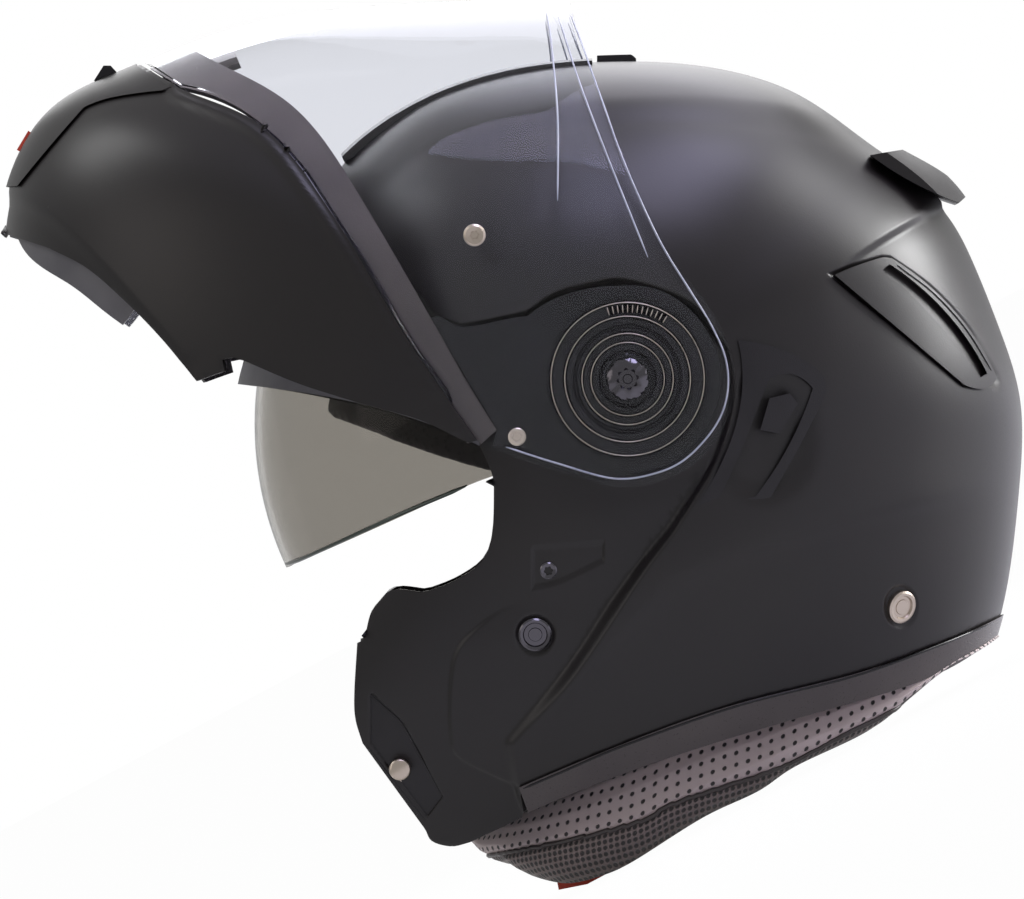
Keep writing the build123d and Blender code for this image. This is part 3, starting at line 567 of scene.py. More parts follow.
shellSkin = {
    "halfWidth": 0.126, "wall": 0.0034,
    "turns": 460, "rings": 190, "refineWithin": 17,
    "silhouette": [(640, 66), (740, 78), (800, 100), (875, 148), (940, 200), (975, 265), (1000, 330),
                   (1020, 400), (1022, 440), (1018, 500), (1003, 605), (930, 760), (800, 860), (626, 920),
                   (450, 940), (316, 910), (226, 835), (206, 776), (201, 710), (206, 640), (216, 560),
                   (228, 470), (238, 383), (254, 330), (280, 265), (345, 163), (450, 95), (540, 72)],
    "outline": ringOf([(120, 350), (228, 361), (353, 387), (480, 441)], [(480, 441), (480, 446)],
                      [(480, 446), (492, 473), (494, 493), (492, 534), (482, 560), (455, 579), (424, 591)],
                      [(424, 591), (394, 588), (381, 599), (372, 612), (366, 638)], [(366, 638), (359, 640)],
                      [(359, 640), (356, 690), (357, 716), (364, 740)], [(364, 740), (426, 826)],
                      [(426, 826), (433, 838), (452, 843), (470, 839)], [(470, 839), (524, 813)],
                      [(524, 813), (519, 784)],
                      [(519, 784), (626, 739), (738, 700), (850, 672), (991, 620), (1075, 578)],
                      [(1075, 578), (1075, -60)], [(1075, -60), (120, -60)], [(120, -60), (120, 350)]),
    "recessDepth": 0.0043,
    "recessSoft": ((520, 600, 740, 790), (9, 15, 15, 8)),     # how soft its step is at these heights
    "recessEdge": ringOf([(345, 470), (353, 420), (372, 360), (420, 291)],
                         [(420, 291), (436, 313), (456, 323), (469, 324), (525, 312)],
                         [(525, 312), (554, 293), (590, 283), (626, 280), (690, 303), (728, 350)],
                         [(728, 350), (734, 400), (715, 462), (672, 532)],
                         [(672, 532), (643, 571), (578, 668), (516, 742)],
                         [(516, 742), (522, 790), (540, 830)]),
    "recessFront": [(540, 1000), (60, 1000), (60, 600)],
    "panelRise": 0.0010, "panelSoft": 5, "panelFade": (596, 50),
    "raisedPanel": ringOf([(500, 606), (477, 623), (456, 646), (449, 680), (449, 732), (460, 757),
                           (517, 785)],
                          [(517, 785), (620, 700)], [(620, 700), (640, 560)], [(640, 560), (500, 606)]),
    "ridgeRise": 0.0028, "ridgeUnder": 15, "ridgeOver": 60, "ridgeEnds": ((520, 60), (1010, 110)),
    "ridge": openCurve([(990, 480), (950, 490), (860, 511), (787, 533), (713, 560), (640, 604), (522, 735)]),
    "crownRise": 0.0016, "crownSoft": 26, "crownEnds": ((350, 90), (890, 120)),
    "crownEdge": openCurve([(350, 232), (430, 178), (540, 140), (640, 128), (740, 130), (820, 142),
                            (872, 162)]),
    "creaseSink": 0.0018, "creaseSoft": 10, "creaseFade": 45, "creaseStart": (815, 60),
    "rearCrease": openCurve([(822, 275), (880, 236), (948, 197)]),
    "exhaustSink": 0.0014, "exhaustSoft": 5,
    "exhaust": ringOf([(822, 275), (850, 264), (880, 255)], [(880, 255), (889, 256)],
                      [(889, 256), (932, 288), (969, 328), (998, 377)],
                      [(998, 377), (993, 387), (958, 388)], [(958, 388), (890, 330), (822, 275)]),
    "latchSink": 0.0020, "latchSoft": 2.5,
    "latch": ringOf([(371, 688), (390, 705), (405, 720)], [(405, 720), (444, 794)], [(444, 794), (428, 815)],
                    [(428, 815), (371, 741)], [(371, 741), (371, 688)]),
    "wellSink": 0.0008, "wellSoft": 3,
    "screwWell": ringOf([(531, 545), (531, 588)], [(531, 588), (560, 581), (604, 560)],
                        [(604, 560), (604, 540)], [(604, 540), (531, 545)]),
    "rivetSink": 0.0009, "rivetEdge": (1.12, 0.24),
    "rivets": [(535, 632, 19, 19), (897, 605, 16, 21)],       # place, half width and half height
    "sliderSink": 0.0016, "sliderEdge": (1.0, 0.4),
    "sliderRun": (758, 436, 62, 72),                          # room under the slider, given as a rivet's
}


# How far each spot lies from an oval's middle, 1 on its line
def ovalShare(spots, oval):
    across, down, wide, tall = oval
    return np.hypot((spots[:, 0] - across) / wide, (spots[:, 1] - down) / tall)


def shellRelief(spots, plan):
    facts = shellSkin
    soft = np.interp(spots[:, 1], *facts["recessSoft"])
    away, _ = lineDistance(spots, facts["recessEdge"])
    within = insideRing(spots, np.vstack([facts["recessEdge"], facts["recessFront"]]))
    recess = np.where(within, smoothStep(away / soft), 0.0)
    inward = facts["recessDepth"] * plan * recess

    start, length = facts["panelFade"]
    fade = smoothStep((spots[:, 1] - start) / length)
    panel = depthIn(spots, facts["raisedPanel"], facts["panelSoft"]) * fade
    raised = facts["panelRise"] * panel * recess
    for ovals, sink, (edge, soft) in ((facts["rivets"], facts["rivetSink"], facts["rivetEdge"]),
                                      ([facts["sliderRun"]], facts["sliderSink"], facts["sliderEdge"])):
        for oval in ovals:
            raised -= sink * smoothStep((edge - ovalShare(spots, oval)) / soft)
    for ring, sink, soft in (("screwWell", "wellSink", "wellSoft"), ("latch", "latchSink", "latchSoft"),
                             ("exhaust", "exhaustSink", "exhaustSoft")):
        raised -= facts[sink] * depthIn(spots, facts[ring], facts[soft])

    away, foot = lineDistance(spots, facts["ridge"])
    under = np.exp(-(away / facts["ridgeUnder"]) ** 1.5)
    over = np.exp(-(away / facts["ridgeOver"]) ** 1.6)
    ridge = np.where(spots[:, 1] > foot[:, 1], under, over) * fadedEnds(spots, *facts["ridgeEnds"])
    raised += facts["ridgeRise"] * ridge * (1 - recess)

    away, foot = lineDistance(spots, facts["crownEdge"])
    crown = np.where(spots[:, 1] < foot[:, 1], smoothStep(away / facts["crownSoft"]), 0)
    raised += facts["crownRise"] * crown * fadedEnds(spots, *facts["crownEnds"])

    away, foot = lineDistance(spots, facts["rearCrease"])
    start, length = facts["creaseStart"]
    behind = (spots[:, 1] > foot[:, 1]) & (spots[:, 0] > start)
    crease = np.where(behind, smoothStep(away / facts["creaseSoft"]) * np.exp(-away / facts["creaseFade"]), 0)
    raised -= facts["creaseSink"] * crease * smoothStep((spots[:, 0] - start) / length)
    return inward, raised


def makeShell():
    facts = shellSkin
    form = SkinForm(facts["silhouette"], facts["halfWidth"] / pixel)
    lines = [facts["recessEdge"], facts["raisedPanel"], np.vstack([facts["exhaust"], facts["exhaust"][:1]]),
             facts["latch"], facts["screwWell"], facts["rearCrease"]]
    for across, down, wide, tall in facts["rivets"]:
        turns = np.linspace(0, 2 * pi, 25)
        lines.append(np.column_stack([across + wide * np.cos(turns), down + tall * np.sin(turns)]))
    makeSkin("shell_skin", facts, form, shellRelief, lines, "shell", "outer_shell")


makeShell()

barSkin = {
    "halfWidth": 0.129, "wall": 0.0020, "flippedUp": 74,
    "turns": 420, "rings": 170, "refineWithin": 10,
    "silhouette": [(640, 5), (760, 20), (880, 80), (970, 180), (1025, 330), (1030, 480), (985, 640), (900, 780),
                   (780, 880), (640, 945), (450, 968), (306, 938), (269, 919), (207, 853), (191, 776),
                   (184, 720), (182, 612), (192, 545), (207, 474), (222, 410), (235, 357), (260, 285),
                   (320, 175), (420, 75), (530, 20)],
    "outline": ringOf([(480, 445), (465, 441), (420, 420), (359, 403)], [(359, 403), (300, 384), (241, 359)],
                      [(241, 359), (225, 358)], [(225, 358), (228, 372)], [(228, 372), (200, 382)],
                      [(200, 382), (161, 337), (129, 305), (88, 270), (48, 249)], [(48, 249), (-60, 214)],
                      [(-60, 214), (-60, -20)], [(-60, -20), (142, 66)], [(142, 66), (182, 91)],
                      [(182, 91), (265, 130), (330, 210), (405, 335), (480, 445)]),
    "creaseSink": 0.0018, "creaseSoft": 22, "creaseEnd": (205, 40),
    "crease": openCurve([(14, 187), (40, 203), (67, 222), (107, 260), (147, 303), (190, 352)]),
    "lipRise": 0.0007, "lipAway": 9, "lipWidth": 4,
    "lip": openCurve([(182, 91), (265, 130), (330, 210), (405, 335), (480, 445)]),
}


def barRelief(spots, plan):
    facts = barSkin
    away, foot = lineDistance(spots, facts["crease"])
    end, length = facts["creaseEnd"]
    under = np.where(spots[:, 1] > foot[:, 1], smoothStep(away / facts["creaseSoft"]), 0)
    raised = -facts["creaseSink"] * under * smoothStep((end - spots[:, 0]) / length)
    away, _ = lineDistance(spots, facts["lip"])
    raised += facts["lipRise"] * np.exp(-((away - facts["lipAway"]) / facts["lipWidth"]) ** 2)
    return np.zeros(len(spots)), raised


def makeBar():
    facts = barSkin
    form = SkinForm(turned(facts["silhouette"], facts["flippedUp"]), facts["halfWidth"] / pixel)
    lines = [facts["crease"], facts["lip"]]
    makeSkin("chin_bar_skin", facts, form, barRelief, lines, "chin_bar_group", "chin_bar")


makeBar()


# Tree of nodes or earlier pieces that others are seated on
def treeOf(*names):
    verts, faces = [], []
    for name in names:
        node = nodes[name] if name in nodes else bpy.data.objects[name]
        start = len(verts)
        verts += [node.matrix_world @ vertex.co for vertex in node.data.vertices]
        faces += [[start + k for k in face.vertices] for face in node.data.polygons]
    return BVHTree.FromPolygons(verts, faces)


# Where a line of sight through a photo pixel meets a tree, and the outward normal there
def seatOn(tree, across, down, side=-1):
    start = onSheet(across, down, side * 0.4)
    place, normal, _, _ = tree.ray_cast(start, Vector((0, -side, 0)))
    if place is None:
        return None, None
    return place, normal if normal.y * side > 0 else -normal


# Turned heads and caps. A profile is radius and height over the seat, in millimetres from the middle out
fixings = {
    "strap_rivet_caps": {
        "replaces": "strap_rivets", "body": "shell", "material": blackChrome, "slot": "dark_chrome",
        "at": (535, 632), "on": "shell_skin",
        "profile": [(0.01, 0.9), (2.3, 0.9), (2.5, 0.5), (4.0, 0.5), (4.4, 1.3), (5.3, 1.5), (5.9, 1.0),
                    (6.1, 0.0), (6.1, -0.8)]},
    "rear_stud_caps": {
        "replaces": "rear_studs", "body": "shell", "material": nickel, "slot": "nickel_steel",
        "at": (897, 605), "on": "shell_skin",
        "profile": [(0.01, 0.9), (2.6, 0.9), (2.8, 0.6), (3.9, 0.6), (4.3, 1.4), (5.2, 1.6), (5.9, 1.1),
                    (6.1, 0.0), (6.1, -0.8)]},
    "shell_screw_heads": {
        "replaces": "shell_screws", "body": "shell", "material": blackChrome, "slot": "dark_chrome",
        "at": (548, 569), "on": "shell_skin", "lobes": 6, "lobed": (1, 2),
        "profile": [(0.01, -0.5), (1.4, -0.5), (1.5, 0.6), (2.6, 0.9), (3.1, 0.5), (3.2, -0.5)]},
    "arm_screw_heads": {
        "replaces": "arm_screws", "body": "chin_bar_group", "material": nickel, "slot": "nickel_steel",
        "at": (517, 437), "on": "arm_screws", "lobes": 6, "lobed": (1, 2),
        "profile": [(0.01, -0.9), (1.5, -0.9), (1.6, 0.1), (2.8, 0.3), (3.2, 0.0), (3.2, -1.0)]},
    "visor_pin_heads": {
        "replaces": "visor_pins", "body": "visor_group", "material": nickel, "slot": "nickel_steel",
        "at": (475, 238), "on": "visor_pins", "lift": -0.0012, "lobes": 6, "lobed": (1, 2),
        "profile": [(0.01, 0.2), (1.4, 0.2), (1.5, 1.5), (3.2, 1.7), (3.9, 1.1), (4.0, -2.0)]},
    "latch_pin_heads": {
        "replaces": "latch_pins", "body": "shell", "material": nickel, "slot": "nickel_steel",
        "at": (401, 766), "on": "latch_pins", "lift": -0.0009, "straight": True,
        "profile": [(0.01, 0.0), (3.0, 0.0), (3.6, -0.4), (3.9, -1.0), (3.9, -3.2), (3.2, -3.8), (3.1, -6.4),
                    (4.7, -7.2), (5.0, -7.8), (5.0, -9.6)]},
    "pivot_knob_caps": {
        "replaces": "pivot_knobs", "body": "shell", "material": blackChrome, "slot": "black_gloss",
        "at": view["hinge"], "on": "pivot_knobs", "lift": -0.0006, "straight": True,
        "lobes": 8, "lobed": (4, 5, 6),
        "profile": [(0.01, 1.2), (1.5, 1.2), (1.8, 0.6), (3.2, 0.6), (3.6, 1.6), (5.0, 1.6), (6.4, 1.2),
                    (7.4, 0.2), (7.6, -1.6)]},
}
turning = {"steps": 40, "lobeShare": 0.14, "sharpAngle": radians(35), "startsFrom": (0.3, 0.1, 0.95)}


# Spins a fixing's profile round its axis, waves its lobed rings and closes it at both ends
def spinFixing(form, facts, place, axis):
    axis = axis.normalized()
    across = axis.cross(Vector(turning["startsFrom"])).normalized()
    ring = form.verts.layers.int["ring"]
    earlier = set(form.verts)
    rings = []
    for k, (radius, height) in enumerate(facts["profile"]):
        rings.append(form.verts.new(place + across * (radius / 1000) + axis * (height / 1000)))
        rings[-1][ring] = k
    edges = [form.edges.new(pair) for pair in zip(rings, rings[1:])]
    bmesh.ops.spin(form, geom=rings + edges, cent=place, axis=axis, angle=2 * pi, steps=turning["steps"],
                   use_merge=True)
    for vertex in set(form.verts) - earlier:
        if vertex[ring] in facts.get("lobed", ()):
            offset = vertex.co - place
            flat = offset - axis * offset.dot(axis)
            vertex.co += flat * (turning["lobeShare"] * cos(facts["lobes"] * across.angle(flat)))
    bmesh.ops.holes_fill(form, edges=[edge for edge in form.edges if edge.is_boundary], sides=0)


def makeFixings():
    trees = {}
    for name, facts in fixings.items():
        if facts["on"] not in trees:
            trees[facts["on"]] = treeOf(facts["on"])
        form = bmesh.new()
        ring = form.verts.layers.int.new("ring")
        for side in (-1, 1):
            place, normal = seatOn(trees[facts["on"]], *facts["at"], side)
            axis = Vector((0, side, 0)) if facts.get("straight") else normal
            spinFixing(form, facts, place + axis * facts.get("lift", 0), axis)
        form.verts.layers.int.remove(form.verts.layers.int["ring"])
        bmesh.ops.recalc_face_normals(form, faces=form.faces)
        piece = addPiece(name, meshOf(name, form), facts["material"], facts["body"],
                         facts["replaces"])
        piece.data.set_sharp_from_angle(angle=turning["sharpAngle"])
    print("fixings:", len(fixings))


makeFixings()

ratchetFace = {
    "probe": (626, 323),       # a spot of the plate that shows
    "inner": 5.9, "radius": 28.8, "rows": 96, "steps": 400,      # millimetres
    "grooves": (9.6, 13.0, 16.2, 18.7, 22.3, 27.4), "grooveWidth": 0.45, "grooveDepth": 0.9,
    "grooveSoft": 1.6,
    "slots": ((58, 106), (148, 168), (-30, -2)), "slotRadius": 25.0, "slotHalfWidth": 1.7, "slotDepth": 1.2,
    "slotTeeth": 66,
    "notches": ((38, 14.6), (128, 14.6), (218, 14.6), (308, 14.6), (75, 20.5), (195, 20.5), (314.99, 20.5)),
    "notchDepth": 0.8, "notchHalfAngle": 9, "notchHalfWidth": 1.0,
    "rimWidth": 0.05, "rimDrop": 1.3,
    "sharpAngle": radians(50),
    # Pale beads laid in these grooves and along the slot teeth are painted highlights
    "ringRadii": (13.0, 16.2, 22.3, 27.2), "ringThick": 0.0002,
    "teeth": [58 + 4 * k for k in range(13)], "toothReach": (23.6, 24.6, 25.6, 26.4), "toothThick": 0.0003,
}


# Depth of the plate's face in millimetres, at a radius and a turn in degrees
def ratchetDepth(radius, turn):
    facts = ratchetFace

    def offFrom(middle):
        return abs((turn - middle + 180) % 360 - 180)

    if radius > facts["radius"] - facts["rimWidth"]:
        return facts["rimDrop"]
    near = min(abs(radius - groove) for groove in facts["grooves"])
    depth = facts["grooveDepth"] * float(smoothStep(facts["grooveSoft"] - near / facts["grooveWidth"]))
    if abs(radius - facts["slotRadius"]) < facts["slotHalfWidth"]:
        for k, (low, high) in enumerate(facts["slots"]):
            if offFrom((low + high) / 2) < (high - low) / 2:
                toothed = 0.55 + 0.45 * cos(radians(turn) * facts["slotTeeth"])
                depth = facts["slotDepth"] * (1 if k else toothed)
    for middle, at in facts["notches"]:
        if offFrom(middle) < facts["notchHalfAngle"] and abs(radius - at) < facts["notchHalfWidth"]:
            depth = max(depth, facts["notchDepth"])
    return depth


# The ratchet plate's face under the visor's ear: a row of verts spun round the hinge and pressed in
def makeRatchetFaces():
    facts = ratchetFace
    step = 360 / facts["steps"]
    form = bmesh.new()
    for side in (-1, 1):
        place, _ = seatOn(treeOf("ratchet_plates"), *facts["probe"], side)
        middle = Vector((0, place.y, 0))
        earlier = set(form.verts)
        row = [form.verts.new(middle + sheetRight * (radius / 1000))
               for radius in np.linspace(facts["inner"], facts["radius"], facts["rows"])]
        edges = [form.edges.new(pair) for pair in zip(row, row[1:])]
        bmesh.ops.spin(form, geom=row + edges, cent=middle, axis=(0, -1, 0), angle=2 * pi,
                       steps=facts["steps"], use_merge=True)
        for vertex in set(form.verts) - earlier:
            offset = vertex.co - middle
            turn = round(degrees(atan2(offset.dot(sheetUp), offset.dot(sheetRight))) / step) * step
            vertex.co.y -= side * ratchetDepth(offset.length * 1000, turn) / 1000
    form.normal_update()
    turnedIn = [face for face in form.faces if face.normal.y * face.verts[0].co.y < 0]
    bmesh.ops.reverse_faces(form, faces=turnedIn)
    piece = addPiece("ratchet_faces", meshOf("ratchet_faces", form), gloss, "chin_bar_group",
                     "ratchet_plates")
    piece.data.set_sharp_from_angle(angle=facts["sharpAngle"])
    print("ratchet faces have", len(piece.data.polygons), "faces")


makeRatchetFaces()

bead = {"sides": 8, "startShare": 0.4, "stepShare": 0.3, "flatWay": 0.05}


# One ring of verts drawn along a line of points, thinner towards open ends
def drawBead(form, line, radius, closed):
    count = len(line)
    ring = bmesh.ops.create_circle(form, segments=bead["sides"], radius=1, cap_ends=not closed)["verts"]
    corners = [vertex.co.copy() for vertex in ring]
    first = list(ring)

    def edgesOf(verts):
        return [form.edges.get((verts[j - 1], verts[j])) for j in range(len(verts))]

    for k, spot in enumerate(line):
        if k:
            drawn = set(bmesh.ops.extrude_edge_only(form, edges=edgesOf(ring))["geom"])
            ring = [next(edge.other_vert(vertex) for edge in vertex.link_edges
                         if edge.other_vert(vertex) in drawn) for vertex in ring]
        before = line[k - 1] if k or closed else spot
        after = line[(k + 1) % count] if k < count - 1 or closed else spot
        way = (after - before).normalized()
        across = way.cross(Vector((0, 0, 1)))
        if across.length < bead["flatWay"]:
            across = way.cross(Vector((0, 1, 0)))
        across.normalize()
        up = way.cross(across)
        fromEnd = min(k, count - 1 - k)
        thick = radius if closed else radius * min(1, bead["startShare"] + bead["stepShare"] * fromEnd)
        for vertex, corner in zip(ring, corners):
            vertex.co = spot + (across * corner.x + up * corner.y) * thick
    if closed:
        bmesh.ops.bridge_loops(form, edges=edgesOf(ring) + edgesOf(first))
    else:
        form.faces.new(ring)


def makeBead(name, lines, radius, material, body, closed=False):
    form = bmesh.new()
    for line in lines:
        drawBead(form, line, radius, closed)
    bmesh.ops.recalc_face_normals(form, faces=form.faces)
    return addPiece(name, meshOf(name, form), material, body)


neckRoll = {
    "front": 462, "rear": 1000, "halfWidth": 250, "power": 2.5, "thick": 70, "taper": 10,
    "around": 480, "outerRows": 44, "innerRows": 14,
    "top": [(450, 822), (480, 815), (531, 794), (626, 757), (738, 720), (850, 688), (961, 647), (1010, 620)],
    "piping": [(450, 856), (507, 849), (626, 821), (678, 797), (775, 765), (850, 728), (913, 698), (1010, 650)],
    "bottom": [(455, 843), (466, 845), (480, 860), (496, 863), (513, 873), (552, 880), (589, 873), (626, 858),
               (701, 814), (757, 788), (797, 763), (876, 728), (913, 698), (961, 661), (1003, 632)],
    "leastTall": 16, "lastSeam": 0.93,
    "profile": [(0.0, -30), (0.12, -17), (0.3, -7), (0.5, -2), (0.62, 0), (0.8, -3), (0.92, -12), (1.0, -26)],
    "seamStep": 1.6, "seamSoft": 0.1, "seamSink": 3.0, "seamWidth": 3.0,
    "pipeOut": 1.5, "pipeThick": 0.0009,
    "seamGap": 0.0004,         # the pattern's last strip of the way round, in metres
}


# How far the roll's skin stands out at a share of its height, with the seam drawn in
def rollOut(at, seam, tall):
    facts = neckRoll
    share, offset = np.array(facts["profile"]).T
    step = facts["seamStep"] * (smoothStep((at - seam) / facts["seamSoft"]) - 0.5)
    sink = facts["seamSink"] * np.exp(-((at - seam) * tall / facts["seamWidth"]) ** 2)
    return np.interp(at, share, offset) + step - sink


# Padded roll: a closed section carried round the neck, with its UV laid out in metres
def makeNeckRoll():
    facts = neckRoll
    lines = {key: openCurve(facts[key], 12) for key in ("top", "piping", "bottom")}
    along = np.linspace(0, 2 * pi, facts["around"], endpoint=False)
    middle, half = (facts["front"] + facts["rear"]) / 2, (facts["rear"] - facts["front"]) / 2
    across = middle + half * np.sign(np.cos(along)) * np.abs(np.cos(along)) ** (2 / facts["power"])
    out = facts["halfWidth"] * np.sign(np.sin(along)) * np.abs(np.sin(along)) ** (2 / facts["power"])
    step = np.column_stack([np.roll(across, -1) - np.roll(across, 1), np.roll(out, -1) - np.roll(out, 1)])
    normal = np.column_stack([step[:, 1], -step[:, 0]]) / np.linalg.norm(step, axis=1)[:, None]
    length = np.concatenate([[0], np.cumsum(np.hypot(np.diff(across), np.diff(out)))]) * pixel
    outer = np.linspace(0, 1, facts["outerRows"])
    inner = np.linspace(0.94, 0, facts["innerRows"])
    rows = np.concatenate([outer, inner])
    count = len(rows)

    def placeAt(k, outward, down):
        return onSheet(across[k] + normal[k, 0] * outward, down, (out[k] + normal[k, 1] * outward) * pixel)

    verts, faces, flats, pipe = [], [], [], []
    for k in range(len(along)):
        top, seamAt, bottom = (np.interp(across[k], *lines[key].T) for key in ("top", "piping", "bottom"))
        tall = max(bottom - top, facts["leastTall"])
        seam = min((seamAt - top) / tall, facts["lastSeam"])
        outwards = np.concatenate([rollOut(outer, seam, tall), facts["taper"] * inner - facts["thick"]])
        for at, outward in zip(rows, outwards):
            verts.append(placeAt(k, outward, top + at * tall))
            flats.append((length[k], (seam - at) * tall * pixel))
        piped = int(np.argmax(outer >= seam))
        pipe.append(placeAt(k, outwards[piped] + facts["pipeOut"], top + outer[piped] * tall))
    for k in range(len(along)):
        following = (k + 1) % len(along)
        for j in range(count):
            after = (j + 1) % count
            faces.append((k * count + j, k * count + after, following * count + after, following * count + j))
    mesh = bpy.data.meshes.new("neck_roll_pad")
    mesh.from_pydata(verts, [], faces)
    piece = addPiece("neck_roll_pad", mesh, rollSkin, "shell", "neck_roll")
    layer = mesh.uv_layers.new(name="metres")
    corners = np.array(faces)
    flat = np.array(flats)[corners]
    lastSpan = corners[:, 0] // count == len(along) - 1
    flat[lastSpan, 2:, 0] = length[-1] + facts["seamGap"]
    layer.data.foreach_set("uv", flat.astype(np.float32).ravel())
    makeBead("neck_roll_piping", [pipe], facts["pipeThick"], rubber, "shell", closed=True)
    print("neck roll has", len(faces), "faces")


makeNeckRoll()

# Soft pieces: the solid's shape with its corners worn round, in cells of this many metres
softPieces = {
    "cheek_pad_left": {"material": padMesh, "slot": "lining_fabric", "cell": 0.0016, "rounds": 10,
                       "fill": 0.7},
    "cheek_pad_right": {"material": padMesh, "slot": "lining_fabric", "cell": 0.0016, "rounds": 10,
                       "fill": 0.7},
    "crown_pad": {"material": padMesh, "slot": "lining_fabric", "cell": 0.0022, "rounds": 6, "fill": 0.6},
    "chin_strap_left": {"material": strapWeb, "slot": "webbing", "cell": 0.0007, "rounds": 2},
    "chin_strap_right": {"material": strapWeb, "slot": "webbing", "cell": 0.0007, "rounds": 2},
}


def makeSoft(node, facts):
    mesh = nodes[node].data.copy()
    mesh.materials.clear()
    piece = addPiece(node + "_soft", mesh, facts["material"], "shell", node)
    piece.matrix_world = nodes[node].matrix_world.copy()
    remesh = piece.modifiers.new("evenSkin", "REMESH")
    remesh.mode, remesh.voxel_size, remesh.use_smooth_shade = "VOXEL", facts["cell"], True
    worn = piece.modifiers.new("wornRound", "SMOOTH")
    worn.factor, worn.iterations = 0.5, facts["rounds"]


for node, facts in softPieces.items():
    makeSoft(node, facts)
print("soft pieces:", len(softPieces))

# Thin edges and seams: lines of the photo laid on a surface on both sides, as beads
edgeBeads = {
    # The visor's edge and bevel lines: pale beads that paint its edge highlights
    "visor_edge_lines": {
        "on": ("visor",), "lift": 0.0001, "thick": 0.00035, "material": edgeGlint,
        "body": "visor_group", "slot": "clear_visor",
        "lines": [[(569, 14), (593, 80), (617, 151), (638, 202), (661, 250), (687, 292), (709, 328), (723, 362),
                   (724, 396), (712, 427), (684, 458), (653, 473), (612, 478), (556, 463), (506, 447)],
                  [(558, 20), (580, 90), (610, 170), (646, 260)],
                  [(546, 12), (551, 48), (557, 120), (557, 204)]]},
    "visor_seal": {
        "on": ("chin_bar_skin", "visor"), "lift": -0.0026, "thick": 0.0020, "material": gloss,
        "body": "chin_bar_group", "slot": "trim_rubber",
        "lines": [[(150, 70), (168, 82), (190, 97), (230, 112), (264, 131), (300, 168), (329, 211), (370, 276),
                   (404, 336), (440, 388), (478, 440)]]},
    "sun_visor_edge": {
        "on": ("sun_visor",), "lift": 0.0, "thick": 0.0007, "material": lensEdge,
        "body": "sun_visor_group", "slot": "smoke_visor",
        "lines": [[(246, 392), (248, 432), (253, 483), (265, 532), (278, 557), (290, 563), (330, 546),
                   (400, 514), (466, 486)]]},
    "rim_edge_line": {
        "on": ("rim_trim",), "lift": -0.0001, "thick": 0.0005, "material": gloss,
        "body": "shell", "slot": "trim_rubber",
        "lines": [[(523, 785), (560, 769), (626, 741), (738, 702), (850, 674), (930, 646), (991, 622)]]},
    "latch_edge_lines": {
        "on": ("shell_skin", "latch_plate_left", "latch_plate_right"), "lift": -0.0001, "thick": 0.00035,
        "material": satin, "body": "shell", "slot": "black_satin",
        "lines": [[(437, 797), (422, 813)], [(445, 797), (429, 817)],
                  [(370, 690), (389, 707), (404, 722), (425, 760), (443, 793)],
                  [(368, 742), (398, 782), (426, 817)]]},
    "slider_ridges": {
        "on": ("sun_slider",), "lift": 0.0001, "thick": 0.0006, "material": nickel, "sides": (-1,),
        "body": "sun_slider_group", "slot": "nickel_steel",
        "lines": [[(763, 404), (785, 413)], [(759, 413), (781, 422)]]},
    "exhaust_edge_lines": {
        "on": ("side_exhaust_left", "side_exhaust_right", "shell_skin"), "lift": 0.0001, "thick": 0.0003,
        "material": gloss, "body": "shell", "slot": "black_gloss",
        "lines": [[(888, 268), (924, 296), (958, 333), (983, 372)],
                  [(893, 267), (929, 294), (962, 330), (988, 371)]]},
}


# Points along a photo line, laid on a surface on each side
def linesOn(tree, corners, lift, sides):
    lines = []
    for side in sides:
        seats = [seatOn(tree, across, down, side) for across, down in openCurve(corners)]
        line = [place + normal * lift for place, normal in seats if place is not None]
        if len(line) > 2:
            lines.append(line)
    return lines


def makeEdgeBeads():
    for name, facts in edgeBeads.items():
        tree = treeOf(*facts["on"])
        lines = []
        for corners in facts["lines"]:
            lines += linesOn(tree, corners, facts["lift"], facts.get("sides", (-1, 1)))
        if lines:
            makeBead(name, lines, facts["thick"], facts["material"], facts["body"])
    print("edge beads done")


makeEdgeBeads()


# Thin nickel beads in the ratchet plate's ring grooves and across its toothed slot, seen through the visor's
# ear: their pale colour paints the highlights on the groove edges
def makeRatchetHighlights():
    facts = ratchetFace
    rings, teeth = [], []
    tree = treeOf("ratchet_plates")
    for side in (-1, 1):
        place, _ = seatOn(tree, *facts["probe"], side)
        middle = Vector((0, place.y, 0))

        def spotAt(radius, turn):
            return middle + (sheetRight * cos(turn) + sheetUp * sin(turn)) * (radius / 1000)

        for radius in facts["ringRadii"]:
            rings.append([spotAt(radius, k * pi / 60) for k in range(120)])
        for turn in facts["teeth"]:
            teeth.append([spotAt(radius, radians(turn)) for radius in facts["toothReach"]])
    makeBead("ratchet_ring_highlights", rings, facts["ringThick"], nickel, "chin_bar_group",
             closed=True)
    makeBead("ratchet_tooth_highlights", teeth, facts["toothThick"], nickel, "chin_bar_group")


makeRatchetHighlights()
print("ratchet rings and teeth done")

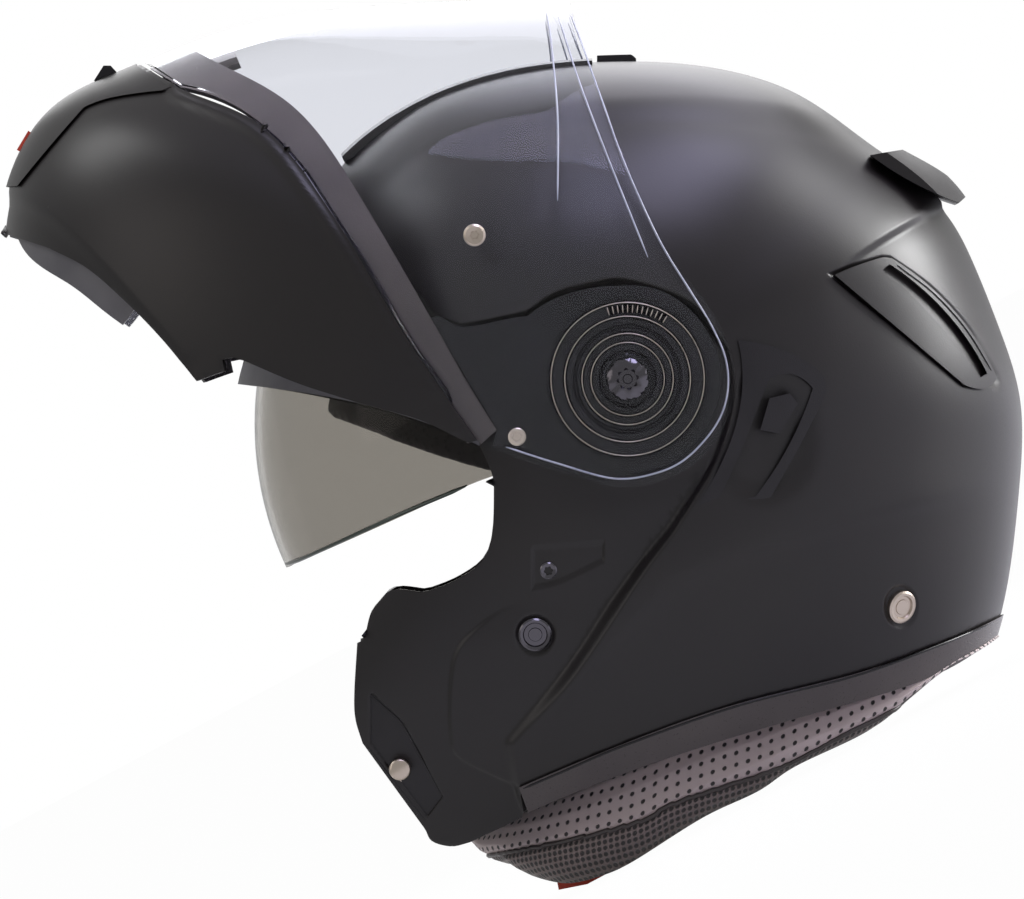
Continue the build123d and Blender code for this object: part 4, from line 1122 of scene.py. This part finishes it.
# Lamps stand at right, up and away from the hinge, in metres in the photo's sheet
studio = {
    "floorSize": 30, "floorColour": "#f4f4f4", "floorRoughness": 0.6,
    "shadowShare": 0.02,       # of the floor's own shading, so that it keeps a pale shadow
    "glossyShare": 0.4,        # how much of the white studio a reflection sees
    "worldLight": 0.17, "white": 1.0,
    "lamps": {
        "overheadBox": {"at": (0.25, 1.05, 0.6), "size": (1.5, 0.6), "watts": 6, "tint": "#f4f2ff"},
        "highSide": {"at": (0.2, 1.3, -0.35), "size": (1.2, 0.5), "watts": 14, "tint": "#dcd8ff"},
        "rearBox": {"at": (1.3, 0.3, 0.35), "size": (0.5, 1.2), "watts": 46, "tint": "#ffffff"},
        "rearHigh": {"at": (1.05, 1.05, 0.15), "size": (0.7, 0.6), "watts": 9, "tint": "#ffffff"},
        "frontBox": {"at": (-1.1, 0.9, 0.1), "size": (0.5, 0.6), "watts": 5, "tint": "#ffffff"},
        "frontSide": {"at": (-1.5, 0.3, -0.8), "size": (0.8, 0.8), "watts": 2.5, "tint": "#fff6f0"},
        "lowFill": {"at": (0.2, -1.0, -1.2), "size": (0.9, 0.4), "watts": 2.2, "tint": "#fff0e8"},
        "farSide": {"at": (0.0, 0.7, 1.6), "size": (1.3, 0.7), "watts": 6, "tint": "#ffffff"},
    },
}


# Camera and transmission rays see the white studio, and glossy ones a dimmer one
def seenRays(tree):
    path = addNode(tree, "ShaderNodeLightPath")
    dimmed = addNode(tree, "ShaderNodeMath", {0: path.outputs["Is Glossy Ray"], 1: studio["glossyShare"]},
                     operation="MULTIPLY")
    first = addNode(tree, "ShaderNodeMath", {0: path.outputs["Is Camera Ray"], 1: dimmed.outputs[0]},
                    operation="MAXIMUM")
    both = addNode(tree, "ShaderNodeMath", {0: first.outputs[0], 1: path.outputs["Is Transmission Ray"]},
                   operation="MAXIMUM")
    return both.outputs[0]


def makeFloor():
    form = bmesh.new()
    bmesh.ops.create_grid(form, x_segments=1, y_segments=1, size=studio["floorSize"])
    bmesh.ops.translate(form, verts=form.verts, vec=(0, 0, cadLow.z))
    floor = bpy.data.objects.new("floor", meshOf("floor", form))
    bpy.context.scene.collection.objects.link(floor)
    material, tree, shader = newMaterial("paleStudioFloor", studio["floorColour"], studio["floorRoughness"])
    white = addNode(tree, "ShaderNodeEmission", Strength=studio["white"])
    mix = addNode(tree, "ShaderNodeMixShader", {0: seenRays(tree), 1: shader.outputs["BSDF"],
                                                2: white.outputs["Emission"]})
    shade = addNode(tree, "ShaderNodeMixShader", {0: studio["shadowShare"], 1: mix.outputs["Shader"],
                                                  2: shader.outputs["BSDF"]})
    tree.links.new(shade.outputs["Shader"], tree.nodes["Material Output"].inputs["Surface"])
    floor.data.materials.append(material)


def makeWorld():
    world = bpy.data.worlds.new("studio")
    bpy.context.scene.world = world
    world.use_nodes = True
    tree = world.node_tree
    background = tree.nodes["Background"]
    background.inputs["Color"].default_value = linear("#ffffff")
    level = addNode(tree, "ShaderNodeMapRange", {"Value": seenRays(tree), "To Min": studio["worldLight"],
                                                 "To Max": studio["white"]})
    tree.links.new(level.outputs["Result"], background.inputs["Strength"])


def makeLamps():
    for name, facts in studio["lamps"].items():
        right, up, away = facts["at"]
        data = bpy.data.lights.new(name, "AREA")
        data.shape = "RECTANGLE"
        data.size, data.size_y = facts["size"]
        data.energy = facts["watts"]
        data.color = linear(facts["tint"])[:3]
        lamp = bpy.data.objects.new(name, data)
        bpy.context.scene.collection.objects.link(lamp)
        lamp.location = sheetRight * right + sheetUp * up + Vector((0, away, 0))
        lamp.rotation_euler = (-lamp.location).to_track_quat("-Z", "Y").to_euler()


def makeCamera():
    data = bpy.data.cameras.new("photoCamera")
    camera = bpy.data.objects.new("photoCamera", data)
    bpy.context.scene.collection.objects.link(camera)
    camera.location = onSheet(*view["middle"], -view["cameraAway"])
    camera.rotation_euler = Matrix((sheetRight, sheetUp, Vector((0, -1, 0)))).transposed().to_euler()
    data.sensor_width = view["sensor"] * 1000
    data.lens = data.sensor_width * view["cameraAway"] / (view["wide"] * pixel)
    data.clip_start, data.clip_end = view["cameraClip"]
    bpy.context.scene.camera = camera


makeFloor()
makeWorld()
makeLamps()
makeCamera()
bpy.context.scene.view_settings.view_transform = "Standard"
print("stage, lamps and camera set")
